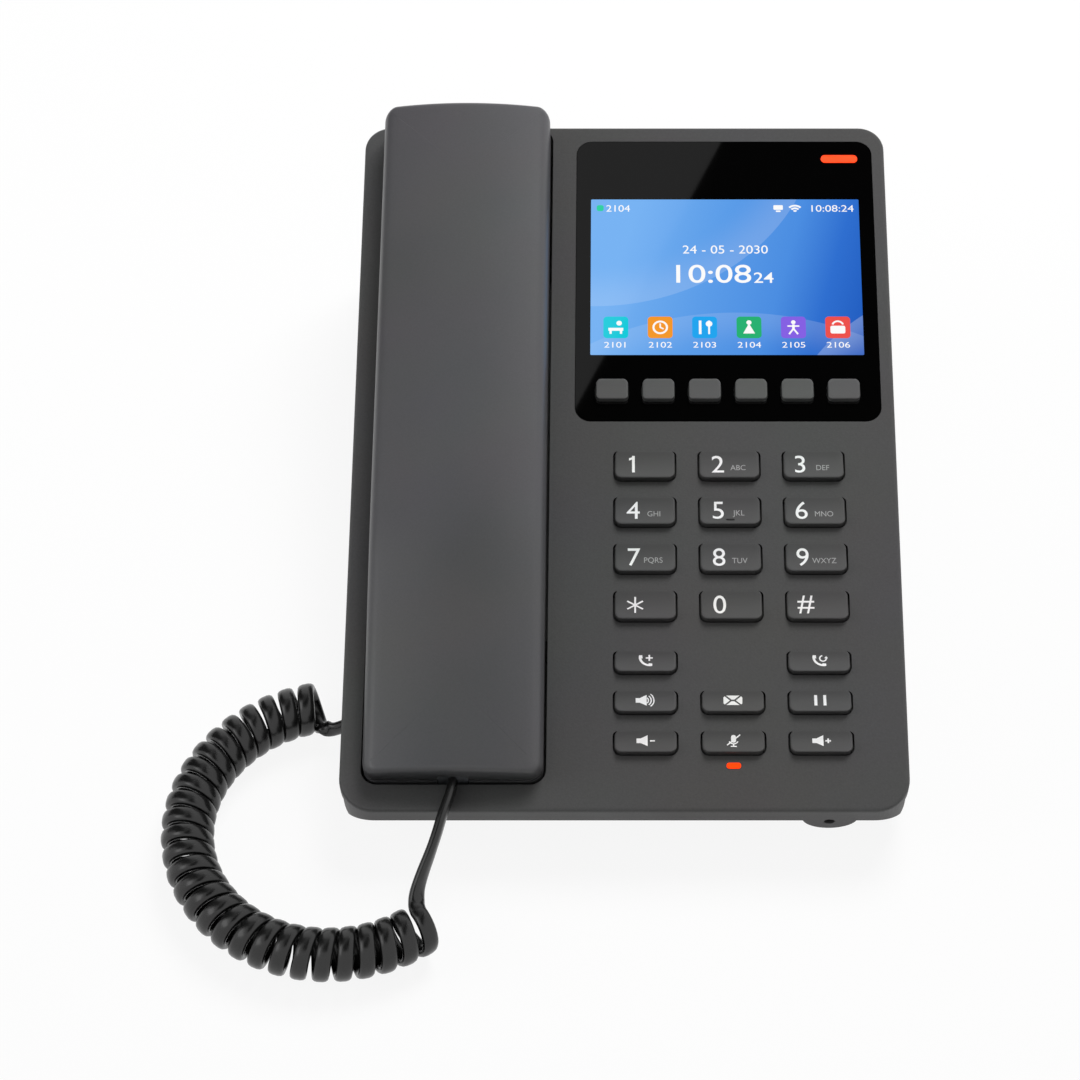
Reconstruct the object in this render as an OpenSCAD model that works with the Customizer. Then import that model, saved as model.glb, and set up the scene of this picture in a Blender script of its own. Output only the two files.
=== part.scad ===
// Desk IP phone: a wedge-shaped desk set with a corded handset, a colour display and push keys.
// +Z is up, +X is to the right and +Y is to the back. Lengths are in millimetres.
// Most pieces are drawn in the frame of the tilted face: x to the right, y up the face
// from its front edge, and z out of the face, with z = 0 on the face itself.

/* [Body] */
// Width of the face
body_w = 143.6; // [141:0.2:156]
// Length of the face, measured up its slope
body_l = 203.6; // [202:0.2:220]
// Tilt of the face from level, in degrees
tilt = 12; // [10:0.5:15]
// Height of the front edge of the face above the desk
front_h = 18; // [17.5:0.5:24]
// Corner radius at the front of the face
corner_front = 9; // [7:0.5:12]
// Corner radius at the back of the face
corner_back = 7; // [5:0.5:10]
// Softened edge round the face
edge_r = 0.9; // [0.5:0.1:1.4]
// Thickness of the face plate and its side wall
face_t = 2; // [1.8:0.1:2.4]
// Height of the top case's side wall
lip_h = 3.9; // [3.4:0.1:5]
// Height of the bottom case's rim below the seam
rim_h = 3.2; // [2.4:0.1:3.6]
// Wall thickness of the bottom case
wall = 2; // [1.6:0.1:2.4]
// Set-back of the underside at the front
front_cut = 12; // [10:0.5:16]
// Set-back and height of the underside's bevel at the sides
side_cut = 6; // [4:0.5:6.5]
// Set-back of the rear wall under the face's back edge
rear_cut = 1.5; // [1.2:0.1:2]

/* [Handset] */
// Width of the handset
handset_w = 45.3; // [43:0.1:47]
// Strip of face in front of the handset
handset_front = 7.8; // [7.8:0.1:9]
// Strip of face behind the handset
handset_behind = 1.4; // [1.4:0.1:4]
// Strip of face to the left of the handset
handset_side = 6.1; // [5.5:0.1:8]
// Height of the handset's long edges above the face
handset_h = 12.5; // [11.5:0.1:14]
// Height of the handset's edges at its mouth end
mouth_h = 6.5; // [6.2:0.1:8]
// Where the back of the handset starts to slope down, measured up the face
bend_v = 71; // [60:1:90]
// Rise of the crowned back over the handset's edges
crown = 2.6; // [2:0.1:3.2]
// Rise of the crown over the sloping part
mouth_crown = 1.9; // [1:0.1:2.4]
// Radius of the handset's long shoulders
shoulder_r = 3; // [2:0.2:4]
// Radius of the handset's corners in plan
handset_r = 3.5; // [2.5:0.5:5]
// Wall thickness of the handset's shells
shell_t = 2; // [1.7:0.1:2.3]
// Depth of the grip below the face
grip_d = 3.3; // [2.5:0.1:4]
// Depth of the ear cup below the face
ear_d = 10.5; // [9:0.5:11.5]
// Length of the ear cup
ear_l = 42; // [40:1:48]
// Depth of the mouth cup below the face
mouth_d = 7.5; // [7:0.1:7.8]
// Length of the mouth cup
mouth_l = 36; // [32:1:40]
// How far the ear cup leans in at the handset's end
ear_lean = 12; // [11.5:0.5:12.5]
// How far the mouth cup leans in at the handset's end
mouth_lean = 3; // [2:0.5:4]
// Clearance between the handset and its cradle
cradle_gap = 0.7; // [0.5:0.1:1]
// How far the handset's cups stand off the cradle floor
seat_gap = 0.3; // [0.2:0.1:0.4]
// Wall thickness of the cradle
cradle_t = 1.8; // [1.4:0.1:2]
// Height over the face of the joint line between the handset's shells
parting_h = 1; // [0.5:0.1:1.5]

/* [Display] */
// Strip of face between the handset and the display window
window_strip = 7.3; // [6.5:0.1:8.5]
// Length of the black display window
window_l = 87.9; // [86:0.1:88]
// Strip of face to the right of the window
window_side = 3.6; // [3:0.1:4.5]
// Strip of face above the window
window_top = 4.9; // [4.5:0.1:6]
// Thickness of the window
window_t = 1.6; // [1.2:0.1:1.8]
// Corner radius of the window
window_r = 4.2; // [3:0.2:6]
// Width of the ledge under the window's edge
ledge = 1.5; // [1.2:0.1:1.5]
// Black border at each side of the display's lit area
lcd_side = 3.95; // [3.75:0.05:5]
// Black border below the lit area, with the soft keys
lcd_below = 20.1; // [19.5:0.1:22]
// Black border above the lit area, with the message light
lcd_above = 18.8; // [18:0.1:21]
// Width of the message light
light_w = 10; // [8:0.5:12]
// Height of the message light
light_l = 2.4; // [2:0.1:3]
// Width of the microphone light below the keys
mute_light_w = 3.6; // [3:0.1:5]

/* [Keys] */
// How far the keypad's sides are set in from the display window's
key_margin = 10.4; // [9:0.1:12]
// Space between the columns of keys
key_space = 6.1; // [5:0.1:8]
// Height of a digit key on the face
digit_l = 8.4; // [8:0.1:8.8]
// Height of a function key on the face
func_l = 6.1; // [5.5:0.1:6.6]
// Height of the front row of keys above the front edge of the face
front_row_v = 18.3; // [18:0.1:20]
// How far the soft keys are set in from the window's sides
soft_margin = 5.55; // [5:0.05:7]
// Space between the soft keys
soft_space = 3.84; // [3:0.02:5]
// Height of a soft key on the face
soft_l = 6; // [5.5:0.1:6.4]
// Height of the soft keys' middle above the window's lower edge
soft_v = 8.9; // [8.5:0.1:9.4]
// How far the keys stand out of the face
key_rise = 2; // [1.6:0.1:2.4]
// How far the soft keys stand out of the window
soft_rise = 1.8; // [1.4:0.1:2]
// Radius of the keys' upper corners
key_r = 1; // [0.8:0.1:1.4]
// Radius of the keys' lower corners
key_r_low = 2; // [1.4:0.1:2.4]
// How far a key's scooped top falls from its lower edge to its upper edge
key_drop = 1.8; // [1:0.05:1.9]
// How far a soft key's top falls
soft_drop = 0.15; // [0.05:0.05:0.6]
// Flat left along a key's lower edge
scoop_land = 0.3; // [0.2:0.05:0.5]
// Travel of a key
key_travel = 1.3; // [1:0.1:1.4]
// Gap between a key and the edge of its opening
key_gap = 0.3; // [0.25:0.05:0.4]
// Width of the rim that holds a key in
key_rim = 0.7; // [0.6:0.05:0.75]

/* [Cord] */
// Outer diameter of the curly part
coil_d = 13.5; // [12:0.5:15]
// Diameter of the plain lead
lead_d = 3; // [2.6:0.1:3.4]
// Width of a cord plug
plug_w = 7.6; // [7.4:0.1:7.7]
// Height of a cord plug
plug_h = 5.4; // [5:0.1:5.6]
// Length of a cord plug
plug_l = 11; // [10:0.5:12]

/* [Jacks] */
// Width of a network jack
net_w = 15.8; // [15.2:0.1:16.2]
// Height of a network jack
net_h = 13.2; // [12.6:0.1:13.6]
// Depth of a network jack
net_l = 16; // [15:0.5:18]
// Bore of the power jack
power_d = 6.4; // [6:0.1:6.6]
// Distance between the wall-mount keyholes
keyhole_pitch = 70; // [60:1:70]

/* [Hidden] */
$fn = 48;

charcoal = [0.27, 0.27, 0.27];
handset_grey = [0.33, 0.33, 0.34];
gloss_black = [0.02, 0.02, 0.02];
board_green = [0.1, 0.35, 0.2];
light_red = [1, 0.2, 0.02];
steel = [0.7, 0.7, 0.72];
rubber_black = [0.1, 0.1, 0.1];

// Small amount that a cutter runs past what it cuts
past = 1;
// Larger than the whole phone
huge = 600;

// The face's front edge in the phone's frame
face_y = -(body_l * cos(tilt) + lip_h * sin(tilt)) / 2;
// Rise of the floor of the bottom case over the desk, which the feet fill
floor_z = 2;
foot_recess = 0.8;
foot_d = 12;
rear_y = face_y + body_l * cos(tilt) - rear_cut;
rim_in = 0.3;
// Gap between the bottom case's inside and the cradle's walls
wall_gap = 0.3;
seam_groove = 0.5;

// Places on the face
handset_u = -body_w / 2 + handset_side + handset_w / 2;
handset_l = body_l - handset_front - handset_behind;
handset_end = handset_front + handset_l;
// Depth below the face at which the cups start to lean in
lean_from = 2.2;
// The grip runs between the mouth cup and the ear cup
grip_from = handset_front + mouth_l + mouth_d - grip_d;
grip_to = handset_end - ear_l - ear_d + grip_d;
window_w = body_w - handset_side - handset_w - window_strip - window_side;
window_u = body_w / 2 - window_side - window_w / 2;
window_v = body_l - window_top - window_l;
lcd_w = window_w - 2 * lcd_side;
lcd_l = window_l - lcd_below - lcd_above;
lcd_v = lcd_below + lcd_l / 2;

// The rows of keys share the height between the window and the front row
col_pitch = (window_w - 2 * key_margin + key_space) / 3;
key_w = col_pitch - key_space;
soft_pitch = (window_w - 2 * soft_margin + soft_space) / 6;
soft_w = soft_pitch - soft_space;
rows_l = window_v - front_row_v;
digit_pitch = rows_l * 0.147;
func_pitch = rows_l * 0.12;
func_drop = rows_l * 0.172;
digit_v = window_v - digit_pitch;
func_v = digit_v - 3 * digit_pitch - func_drop;
mute_light_v = func_v - 2 * func_pitch - func_l;
mute_light_l = 1.5;
message_u = window_u + window_w / 2 - 8.9;
message_v = window_v + window_l - 5.6;

// Layers under the face
rim_top = face_t + 0.15;
rim_t = 0.8;
soft_rim_top = window_t + 0.15;
post_end = 5;
board_top = post_end + key_travel;
mat_t = 0.8;
keypad_board_t = 1.6;
ring_d = 7.4;
ring_bore = 5.8;
post_d = 5;

// Posts for the keypad board, in the crossings between the keys
keypad_post_d = 3;
keypad_post_places = [for (side = [-0.5, 0.5], v = [digit_v - digit_pitch / 2, digit_v - 2.5 * digit_pitch,
  func_v - 1.5 * func_pitch]) [window_u + side * col_pitch, v]];

// Main board, level with the desk, and the bay in front of its wing
main_z = 9;
main_t = 1.6;
main_front = rear_y - 89.6;
wing_front = rear_y - 69.6;
bay_l = wing_front - face_y;

// Case screws: places on the face, u then v, under the cradle and beside the keypad
screw_u = body_w / 2 - 9.8;
screw_left_u = handset_u + handset_w / 2 + cradle_gap + cradle_t + 3.4;
screw_v = [32, window_v - 6.7];
screw_places = [[handset_u, bay_l * 0.4688], [handset_u, grip_to - 3],
  [screw_u, screw_v[0]], [screw_u, screw_v[1]],
  [screw_left_u, screw_v[0]], [screw_left_u, screw_v[1]]];
boss_d = 6;
boss_seat_z = floor_z + 6;
screw_bore = 2.5;
screw_shank = 2.3;
screw_head_d = 5.2;
screw_head_t = 1.8;
screw_hole_d = 3;

// Keyholes in the floor, in front of the main board
keyhole_x = 10;
keyhole_y = face_y + body_l * 0.334;

// Edges and screws of the main board
main_left = screw_left_u - 4;
main_right = body_w / 2 - 8;
main_back = rear_y - wall - 0.4;
main_post_d = 6;
board_hole_d = 2.6;
board_screw_d = 2.2;
board_head_d = 4.6;
board_head_t = 1.6;
main_screws = [[main_left + 5, main_front + 5], [main_right - 5, main_front + 5],
  [handset_u - 12, main_back - 5], [main_right - 5, main_back - 5]];

// Hook plunger, square to the face through the floor of the ear pocket
hook_v = handset_end - 30.2;
hook_head_w = 12;
hook_head_l = 8;
hook_head_t = 2;
hook_rod_d = 5;
hook_gap = 0.2;
hook_low = (main_z + main_t + 6.4 - front_h - hook_v * sin(tilt)) / cos(tilt);

// Jacks on the rear wall
net_u = body_w / 2 - 37.8;
net_pitch = net_w + 5;
socket_w = net_w - 3.9;
socket_h = net_h - 6;
socket_l = net_l - 3.5;
socket_low = 2.6;
latch_w = 6.4;
power_w = 9;
power_h = 11;
power_l = 14;
power_u = net_u - net_pitch - 17;
jack_gap = 0.2;

// Cord jack and the notch in the left side where its plug goes
notch_y = face_y + bay_l * 0.2812;
notch_w = 17;
notch_x = -body_w / 2 + 16;
notch_top = 11.4;
base_plug_z = 7.6;
cord_jack_w = 12;
cord_jack_l = 13;
plug_gap = 0.2;
// Height over the face of the middle of the handset's cord plug
handset_plug_w = 0.9;

// Speaker behind the grille in the floor
speaker_x = handset_u + 3;
speaker_y = face_y + bay_l * 0.687;
speaker_r = bay_l * 0.172;
speaker_t = 13;
grille_hole = 2.4;

// Microphone boss at the front edge
mic_u = body_w / 2 - 20.1;
mic_r = 7;
mic_w = 2 - lip_h - rim_h;
mic_hole_w = mic_w - 2.6;
mic_hole_d = 2.8;
mic_front = 0.2;
mic_end = 9.6;
boot_r = 2.2;
boot_front = 2;
capsule_t = 3.2;

// Screws of the handset, on the grip
handset_screw_v = [grip_from + 14, grip_to - 5];
ear_v = handset_end - (ear_l + ear_lean) / 2;
mouth_v = handset_front + mouth_l - 10;

// The cord's route: a lead from the handset's plug down to the desk, an arc on the desk for
// the curly part, and a lead into the notch in the left side. Each lead is a list of places
// from its plug: to the right, to the back, and the height as a share of the plug's own.
handset_plug_place = [handset_u, face_y + handset_front * cos(tilt) - handset_plug_w * sin(tilt),
  front_h + handset_front * sin(tilt) + handset_plug_w * cos(tilt)];
base_plug_place = [notch_x, notch_y, base_plug_z];
function from_plug(plug, steps) = [for (s = steps) [plug[0] + s[0], plug[1] + s[1], plug[2] * s[2]]];
handset_lead_path = from_plug(handset_plug_place, [[0.05, -0.6, 1.02], [-0.05, -2.9, 1.01], [-0.45, -6.3, 1],
  [-1.15, -9.7, 0.9], [-2.55, -13.1, 0.68], [-4.55, -16.5, 0.47], [-6.55, -20.5, 0.29],
  [-8.35, -24.5, 0.195], [-8.95, -27.7, 0.175], [-8.8, -29.8, 0.18]]);
base_lead_path = from_plug(base_plug_place, [[-24.9, 2.5, 0.34], [-23, 1.8, 0.3], [-20.6, 1.5, 0.34],
  [-17.7, 0.95, 0.53], [-14.7, 0.25, 0.84], [-10.2, 0, 1], [-1.2, 0, 1]]);

// The arc of the curly part starts and ends beside the two leads
coil_z = coil_d / 2 + 0.3;
coil_sweep = 203;
coil_start = [handset_plug_place[0] - 6.55, handset_plug_place[1] - 35.45];
coil_stop = [base_plug_place[0] - 27.05, base_plug_place[1] + 2.65];
coil_chord = coil_stop - coil_start;
coil_arc_r = norm(coil_chord) / 2 / sin(coil_sweep / 2);
coil_centre = (coil_start + coil_stop) / 2
  - [-coil_chord[1], coil_chord[0]] / 2 / tan(coil_sweep / 2);
coil_from = atan2(coil_start[1] - coil_centre[1], coil_start[0] - coil_centre[0]);

// Puts its children in the frame of the tilted face
module on_face() {
  translate([0, face_y, front_h]) rotate([tilt, 0, 0]) children();
}

// The face's outline, in by inset
module face_outline(inset) {
  rf = corner_front - inset;
  rb = corner_back - inset;
  half = body_w / 2 - inset;
  translate([-half, inset + rf]) square([2 * half, body_l - 2 * inset - rf - rb]);
  translate([-half + rf, inset]) square([2 * (half - rf), body_l / 2]);
  translate([-half + rb, body_l / 2]) square([2 * (half - rb), body_l / 2 - inset]);
  for (side = [-1, 1]) {
    translate([side * (half - rf), inset + rf]) circle(rf);
    translate([side * (half - rb), body_l - inset - rb]) circle(rb);
  }
}

// A rectangle round its own middle with true round corners
module round_rect(w, l, r) {
  square([w - 2 * r, l], center = true);
  square([w, l - 2 * r], center = true);
  for (side = [-1, 1], end = [-1, 1]) {
    translate([side * (w / 2 - r), end * (l / 2 - r)]) circle(r);
  }
}

// An upright slab between two heights, with a round-cornered outline
module slab(w, l, r, low, high) {
  translate([0, 0, low]) linear_extrude(high - low) round_rect(w, l, r);
}

// Places of the keys on the face: the soft keys, then digits and functions by column and row
function soft_place(i) = [window_u + (i - 2.5) * soft_pitch, window_v + soft_v];
function digit_place(col, row) = [window_u + (col - 1) * col_pitch, digit_v - row * digit_pitch];
function func_place(col, row) = [window_u + (col - 1) * col_pitch, func_v - row * func_pitch];
soft_places = [for (i = [0:5]) soft_place(i)];
digit_places = [for (row = [0:3], col = [0:2]) digit_place(col, row)];
func_places = [func_place(0, 0), func_place(2, 0),
  for (row = [1, 2], col = [0:2]) func_place(col, row)];

module at_each(places) {
  for (place = places) {
    translate([place[0], place[1], 0]) children();
  }
}

// ---- Handset outline, shared by the shells and the cradle ----

// Section across the handset: crowned top, round shoulders, long straight sides
module handset_section(rise, top) {
  half = handset_w / 2;
  crown_r = (half * half + rise * rise) / (2 * rise);
  offset(r = shoulder_r, $fn = 40) offset(delta = -shoulder_r) {
    intersection() {
      translate([0, top + rise - crown_r]) circle(crown_r, $fn = 240);
      translate([-half, -30]) square([handset_w, 60]);
    }
  }
}

// Side view of the handset's underside, with the ear and mouth cups, open upwards
module handset_side_view() {
  polygon([
    [handset_front, -lean_from],
    [handset_front + mouth_lean, -mouth_d],
    [handset_front + mouth_l, -mouth_d],
    [grip_from, -grip_d],
    [grip_to, -grip_d],
    [handset_end - ear_l, -ear_d],
    [handset_end - ear_lean, -ear_d],
    [handset_end - 1.5, -lean_from],
    [handset_end, parting_h],
    [handset_end, 30],
    [handset_front, 30]]);
}

// Turns a profile drawn along the face and out of it into a body of the given width
module across(width) {
  translate([width / 2, 0, 0]) rotate([90, 0, -90]) mirror([1, 0, 0]) linear_extrude(width) children();
}

// Turns a profile drawn across the handset into a long body, pitched about the bend
module along(pitch) {
  translate([0, bend_v, handset_h]) rotate([pitch, 0, 0]) translate([0, 150, -handset_h])
    rotate([90, 0, 0]) linear_extrude(300) children();
}

// The whole handset as one solid, in by inset
module handset_form(inset) {
  slope = atan((handset_h - mouth_h) / (bend_v - handset_front));
  translate([handset_u, 0, 0]) intersection() {
    along(0) offset(delta = -inset) handset_section(crown, handset_h);
    along(slope / 2) offset(delta = -inset) handset_section((crown + mouth_crown) / 2, handset_h + 0.15);
    along(slope) offset(delta = -inset) handset_section(mouth_crown, handset_h);
    across(handset_w) offset(delta = -inset) handset_side_view();
    translate([0, handset_front + handset_l / 2, 0])
      slab(handset_w - 2 * inset, handset_l - 2 * inset, handset_r - inset, -30, 30);
  }
}

// The space that the handset sinks into, or its walls' outside with more
module cradle_space(more) {
  gap = cradle_gap + more;
  translate([handset_u, 0, cradle_gap - seat_gap]) intersection() {
    across(handset_w + 2 * gap) offset(delta = gap) handset_side_view();
    translate([0, handset_front + handset_l / 2, 0])
      slab(handset_w + 2 * gap, handset_l + 2 * gap, handset_r + gap, -30, 30);
  }
}

// ---- Casings ----

module top_case() {
  color(charcoal) on_face() difference() {
    union() {
      difference() {
        hull() {
          translate([0, 0, -lip_h]) linear_extrude(lip_h - edge_r) face_outline(0);
          translate([0, 0, -edge_r]) linear_extrude(edge_r / 2) face_outline(edge_r * 0.134);
          translate([0, 0, -edge_r / 2]) linear_extrude(edge_r / 2 - 0.1) face_outline(edge_r * 0.5);
          translate([0, 0, -edge_r / 2]) linear_extrude(edge_r / 2) face_outline(edge_r);
        }
        translate([0, 0, -lip_h - past]) linear_extrude(lip_h + past - face_t) face_outline(face_t);
      }
      // Thicker seat under the display window
      translate([window_u, window_v + window_l / 2, 0])
        slab(window_w + 3, window_l + 3, window_r + 1.5, -window_t - 1.6, -face_t / 2);
      intersection() {
        cradle_space(cradle_t);
        inside_room();
      }
      hook_guide();
      case_bosses();
      keypad_posts();
    }
    cradle_space(0);
    at_each(keypad_post_places) translate([0, 0, -board_top - past]) cylinder(d = 1.6, h = past + 3.4);
    // Recess for the window, and the opening inside its ledge
    translate([window_u, window_v + window_l / 2, 0]) {
      slab(window_w + 0.3, window_l + 0.3, window_r + 0.15, -window_t - 0.05, past);
      slab(window_w - 2 * ledge, window_l - 2 * ledge, window_r - ledge, -lip_h * 2, past);
    }
    at_each(digit_places) key_opening(key_w, digit_l);
    at_each(func_places) key_opening(key_w, func_l);
    translate([window_u, mute_light_v, 0])
      slab(mute_light_w + 0.1, mute_light_l + 0.1, mute_light_l / 2, -face_t - past, past);
    translate([handset_u, hook_v, 0]) {
      slab(hook_head_w + 0.6, hook_head_l + 0.6, 1.3, -ear_d - hook_head_t - 0.6, 0);
      translate([0, 0, -huge / 2]) cylinder(d = hook_rod_d + 2 * hook_gap, h = huge / 2);
    }
    screw_bores();
  }
}

// The room inside the two cases for the walls that hang from the face
module inside_room() {
  intersection() {
    upright() tub_form(wall + wall_gap);
    translate([-huge / 2, -huge / 2, -huge - lip_h + wall_gap]) cube([huge, huge, huge]);
  }
  translate([0, 0, -lip_h]) linear_extrude(lip_h - face_t / 2) face_outline(face_t / 2);
}

// Box and collar under the ear pocket that guide the hook plunger
module hook_guide() {
  translate([handset_u, hook_v, 0]) {
    slab(hook_head_w + 4, hook_head_l + 4, 2, -ear_d - hook_head_t - 2.4, -ear_d);
    translate([0, 0, -ear_d - 14]) cylinder(d = hook_rod_d + 3.6, h = 12);
  }
}

// Upright bosses that hang from the face and from the cradle floor
module case_bosses() {
  intersection() {
    upright_at_screws() translate([0, 0, boss_seat_z]) cylinder(d = boss_d, h = 60);
    union() {
      translate([handset_u - 10, 0, -huge - grip_d - seat_gap - 0.5]) cube([20, body_l, huge]);
      translate([handset_u + 10, 0, -huge - face_t / 2]) cube([body_w, body_l, huge]);
    }
  }
}

// Posts under the face that the keypad board is screwed to
module keypad_posts() {
  at_each(keypad_post_places) translate([0, 0, -board_top]) cylinder(d = keypad_post_d, h = board_top - face_t / 2);
}

// Undoes the face's tilt, so that its children stand in the phone's frame
module upright() {
  rotate([-tilt, 0, 0]) translate([0, -face_y, -front_h]) children();
}

// Its children in the phone's frame at each case screw
module upright_at_screws() {
  upright() for (place = screw_places) {
    translate([place[0], face_y + place[1] * cos(tilt), 0]) children();
  }
}

module screw_bores() {
  upright_at_screws() translate([0, 0, boss_seat_z - past]) cylinder(d = screw_bore, h = past + 7);
}

module key_opening(w, l) {
  translate([0, 0, -face_t - past]) linear_extrude(face_t + 2 * past)
    key_outline(w + 2 * key_gap, l + 2 * key_gap, key_gap);
}

// Outline of a key: tighter corners above, rounder ones below
module key_outline(w, l, more) {
  high = key_r + more;
  low = key_r_low + more;
  translate([-w / 2, -l / 2 + low]) square([w, l - low - high]);
  translate([-w / 2 + low, -l / 2]) square([w - 2 * low, l / 2]);
  translate([-w / 2 + high, 0]) square([w - 2 * high, l / 2]);
  for (side = [-1, 1]) {
    translate([side * (w / 2 - low), -l / 2 + low]) circle(low);
    translate([side * (w / 2 - high), l / 2 - high]) circle(high);
  }
}

// Side view of the bottom case, in the phone's frame: y across, z up, open at the top
module tub_side_view() {
  front = face_y + rim_in * cos(tilt);
  seam_low = front_h - (lip_h + rim_h) * cos(tilt);
  back = face_y + (body_l - rim_in) * cos(tilt) + (lip_h + rim_h) * sin(tilt);
  back_low = front_h + body_l * sin(tilt) - (lip_h + rim_h) * cos(tilt);
  polygon([
    [front + (lip_h + rim_h) * sin(tilt), seam_low],
    [face_y + front_cut, floor_z],
    [rear_y, floor_z],
    [rear_y, back_low - rear_cut],
    [back, back_low],
    [back - 20 * sin(tilt), back_low + 20 * cos(tilt)],
    [front - 18 * sin(tilt), seam_low + 20 * cos(tilt)]]);
}

// Front view of the bottom case: x across, z up, with bevelled lower edges
module tub_front_view() {
  half = body_w / 2 - rim_in;
  polygon([
    [-half, huge / 2], [-half, floor_z + side_cut], [-half + side_cut, floor_z],
    [half - side_cut, floor_z], [half, floor_z + side_cut], [half, huge / 2]]);
}

// The bottom case as one solid, in by inset
module tub_form(inset) {
  intersection() {
    across(body_w) offset(delta = -inset) tub_side_view();
    translate([0, huge / 2, 0]) rotate([90, 0, 0]) linear_extrude(huge)
      offset(delta = -inset) tub_front_view();
    on_face() translate([0, 0, -huge / 2]) linear_extrude(huge) face_outline(rim_in + inset);
  }
}

module below_seam() {
  on_face() translate([-huge / 2, -huge / 2, -huge - lip_h]) cube([huge, huge, huge]);
}

// The notch for the cord plug, outwards by more
module plug_notch(more) {
  translate([-body_w, notch_y - notch_w / 2 - more, -past])
    cube([body_w + notch_x + more, notch_w + 2 * more, notch_top + past + more]);
}

module bottom_case() {
  color(charcoal) difference() {
    union() {
      intersection() {
        tub_form(0);
        below_seam();
        // The notch's own walls stay when the inside is cut away
        union() {
          difference() {
            translate([-huge / 2, -huge / 2, 0]) cube([huge, huge, huge]);
            tub_form(wall);
          }
          intersection() {
            plug_notch(wall);
            tub_form(0);
          }
          tub_posts();
        }
      }
      mic_boss();
    }
    plug_notch(0);
    // The plug's way through the notch's inner wall
    translate([notch_x - past, notch_y - plug_w / 2 - plug_gap, base_plug_z - plug_h / 2 - plug_gap])
      cube([wall + 2 * past, plug_w + 2 * plug_gap, plug_h + 2 * plug_gap]);
    seam_cut();
    mic_cuts();
    for (place = screw_places) {
      translate([place[0], face_y + place[1] * cos(tilt), 0]) {
        cylinder(d = screw_hole_d, h = boss_seat_z + past);
        cylinder(d = screw_head_d + 0.8, h = floor_z + 2.6);
      }
    }
    for (place = main_screws) {
      translate([place[0], place[1], main_z - 4]) cylinder(d = 2.4, h = 5);
    }
    rear_openings();
    grille();
    keyholes();
    foot_places() translate([0, 0, floor_z - past]) cylinder(d = foot_d + 0.2, h = past + foot_recess);
  }
}

// Groove that shows as a dark line between the two cases
module seam_cut() {
  on_face() translate([0, 0, -lip_h - seam_groove]) difference() {
    linear_extrude(seam_groove + past) face_outline(-past * 3);
    translate([0, 0, -past]) linear_extrude(seam_groove + 3 * past) face_outline(rim_in + 0.8);
  }
}

// Screw posts, and posts that carry the main board
module tub_posts() {
  for (place = screw_places) {
    translate([place[0], face_y + place[1] * cos(tilt), floor_z]) cylinder(d = 8.4, h = boss_seat_z - floor_z);
  }
  for (place = main_screws) {
    translate([place[0], place[1], floor_z]) cylinder(d = main_post_d, h = main_z - floor_z);
  }
  // Ring that centres the speaker
  ring_h = speaker_t / 2.6;
  translate([speaker_x, speaker_y, floor_z]) difference() {
    cylinder(r = speaker_r + 2, h = ring_h);
    translate([0, 0, -past]) cylinder(r = speaker_r + 0.2, h = ring_h + 2 * past);
  }
}

// Half-round boss at the front edge that holds the microphone
module mic_boss() {
  on_face() intersection() {
    translate([mic_u, mic_end, mic_w]) rotate([90, 0, 0]) cylinder(r = mic_r, h = mic_end - mic_front);
    translate([0, 0, -huge / 2 - lip_h]) cube(huge, center = true);
  }
}

module mic_cuts() {
  on_face() translate([mic_u, 0, mic_hole_w]) {
    translate([0, 3 * mic_end, 0]) rotate([90, 0, 0]) cylinder(r = boot_r + 0.05, h = 3 * mic_end - boot_front);
    translate([0, 2 * boot_front, 0]) rotate([90, 0, 0]) cylinder(d = mic_hole_d, h = 5 * boot_front);
  }
}

module rear_openings() {
  for (i = [0, 1]) {
    translate([net_u - i * net_pitch, rear_y, main_z + main_t + net_h / 2])
      cube([net_w + 2 * jack_gap, 3 * wall, net_h + 2 * jack_gap], center = true);
  }
  translate([power_u, rear_y, main_z + main_t + power_h / 2])
    cube([power_w + 2 * jack_gap, 3 * wall, power_h + 2 * jack_gap], center = true);
}

// Rings of holes in the floor under the speaker
module grille() {
  translate([speaker_x, speaker_y, floor_z - past]) {
    cylinder(d = grille_hole, h = wall + 2 * past);
    for (ring = [1:3]) {
      for (i = [0:ring * 6 - 1]) {
        rotate(i * 60 / ring) translate([ring * 5.2, 0, 0]) cylinder(d = grille_hole, h = wall + 2 * past);
      }
    }
  }
}

// Two keyholes that hang the phone on wall screws
module keyholes() {
  for (end = [-1, 1]) {
    translate([keyhole_x, keyhole_y + end * keyhole_pitch / 2, floor_z - past]) {
      cylinder(d = 8.4, h = wall + 2 * past);
      translate([-2.1, 0, 0]) cube([4.2, 8, wall + 2 * past]);
      translate([0, 8, 0]) cylinder(d = 4.2, h = wall + 2 * past);
    }
  }
}

module foot_places() {
  foot_in = side_cut + foot_d / 2 + 2.5;
  for (side = [-1, 1]) {
    translate([side * (body_w / 2 - foot_in), face_y + front_cut + foot_d / 2 + 2, 0]) children();
    translate([side * (body_w / 2 - foot_in), rear_y - foot_d / 2 - 4, 0]) children();
  }
}

// ---- Display ----

module display_window() {
  color(gloss_black) on_face() difference() {
    translate([window_u, window_v + window_l / 2, 0]) slab(window_w, window_l, window_r, -window_t, 0.05);
    at_each(soft_places) key_opening(soft_w, soft_l);
    translate([message_u, message_v, 0])
      slab(light_w + 0.1, light_l + 0.1, light_l / 2, -window_t - past, past);
  }
}

lcd_edge = 1.9;
lcd_t = 3.2;
gasket_t = 0.4;

module display_gasket() {
  color(rubber_black) on_face() translate([window_u, window_v + lcd_v, 0]) difference() {
    slab(lcd_w + 2 * lcd_edge, lcd_l + 5.6, 1, -window_t - gasket_t, -window_t);
    slab(lcd_w + 0.8, lcd_l + 0.8, 0.5, -window_t - gasket_t - past, -window_t + past);
  }
}

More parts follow.
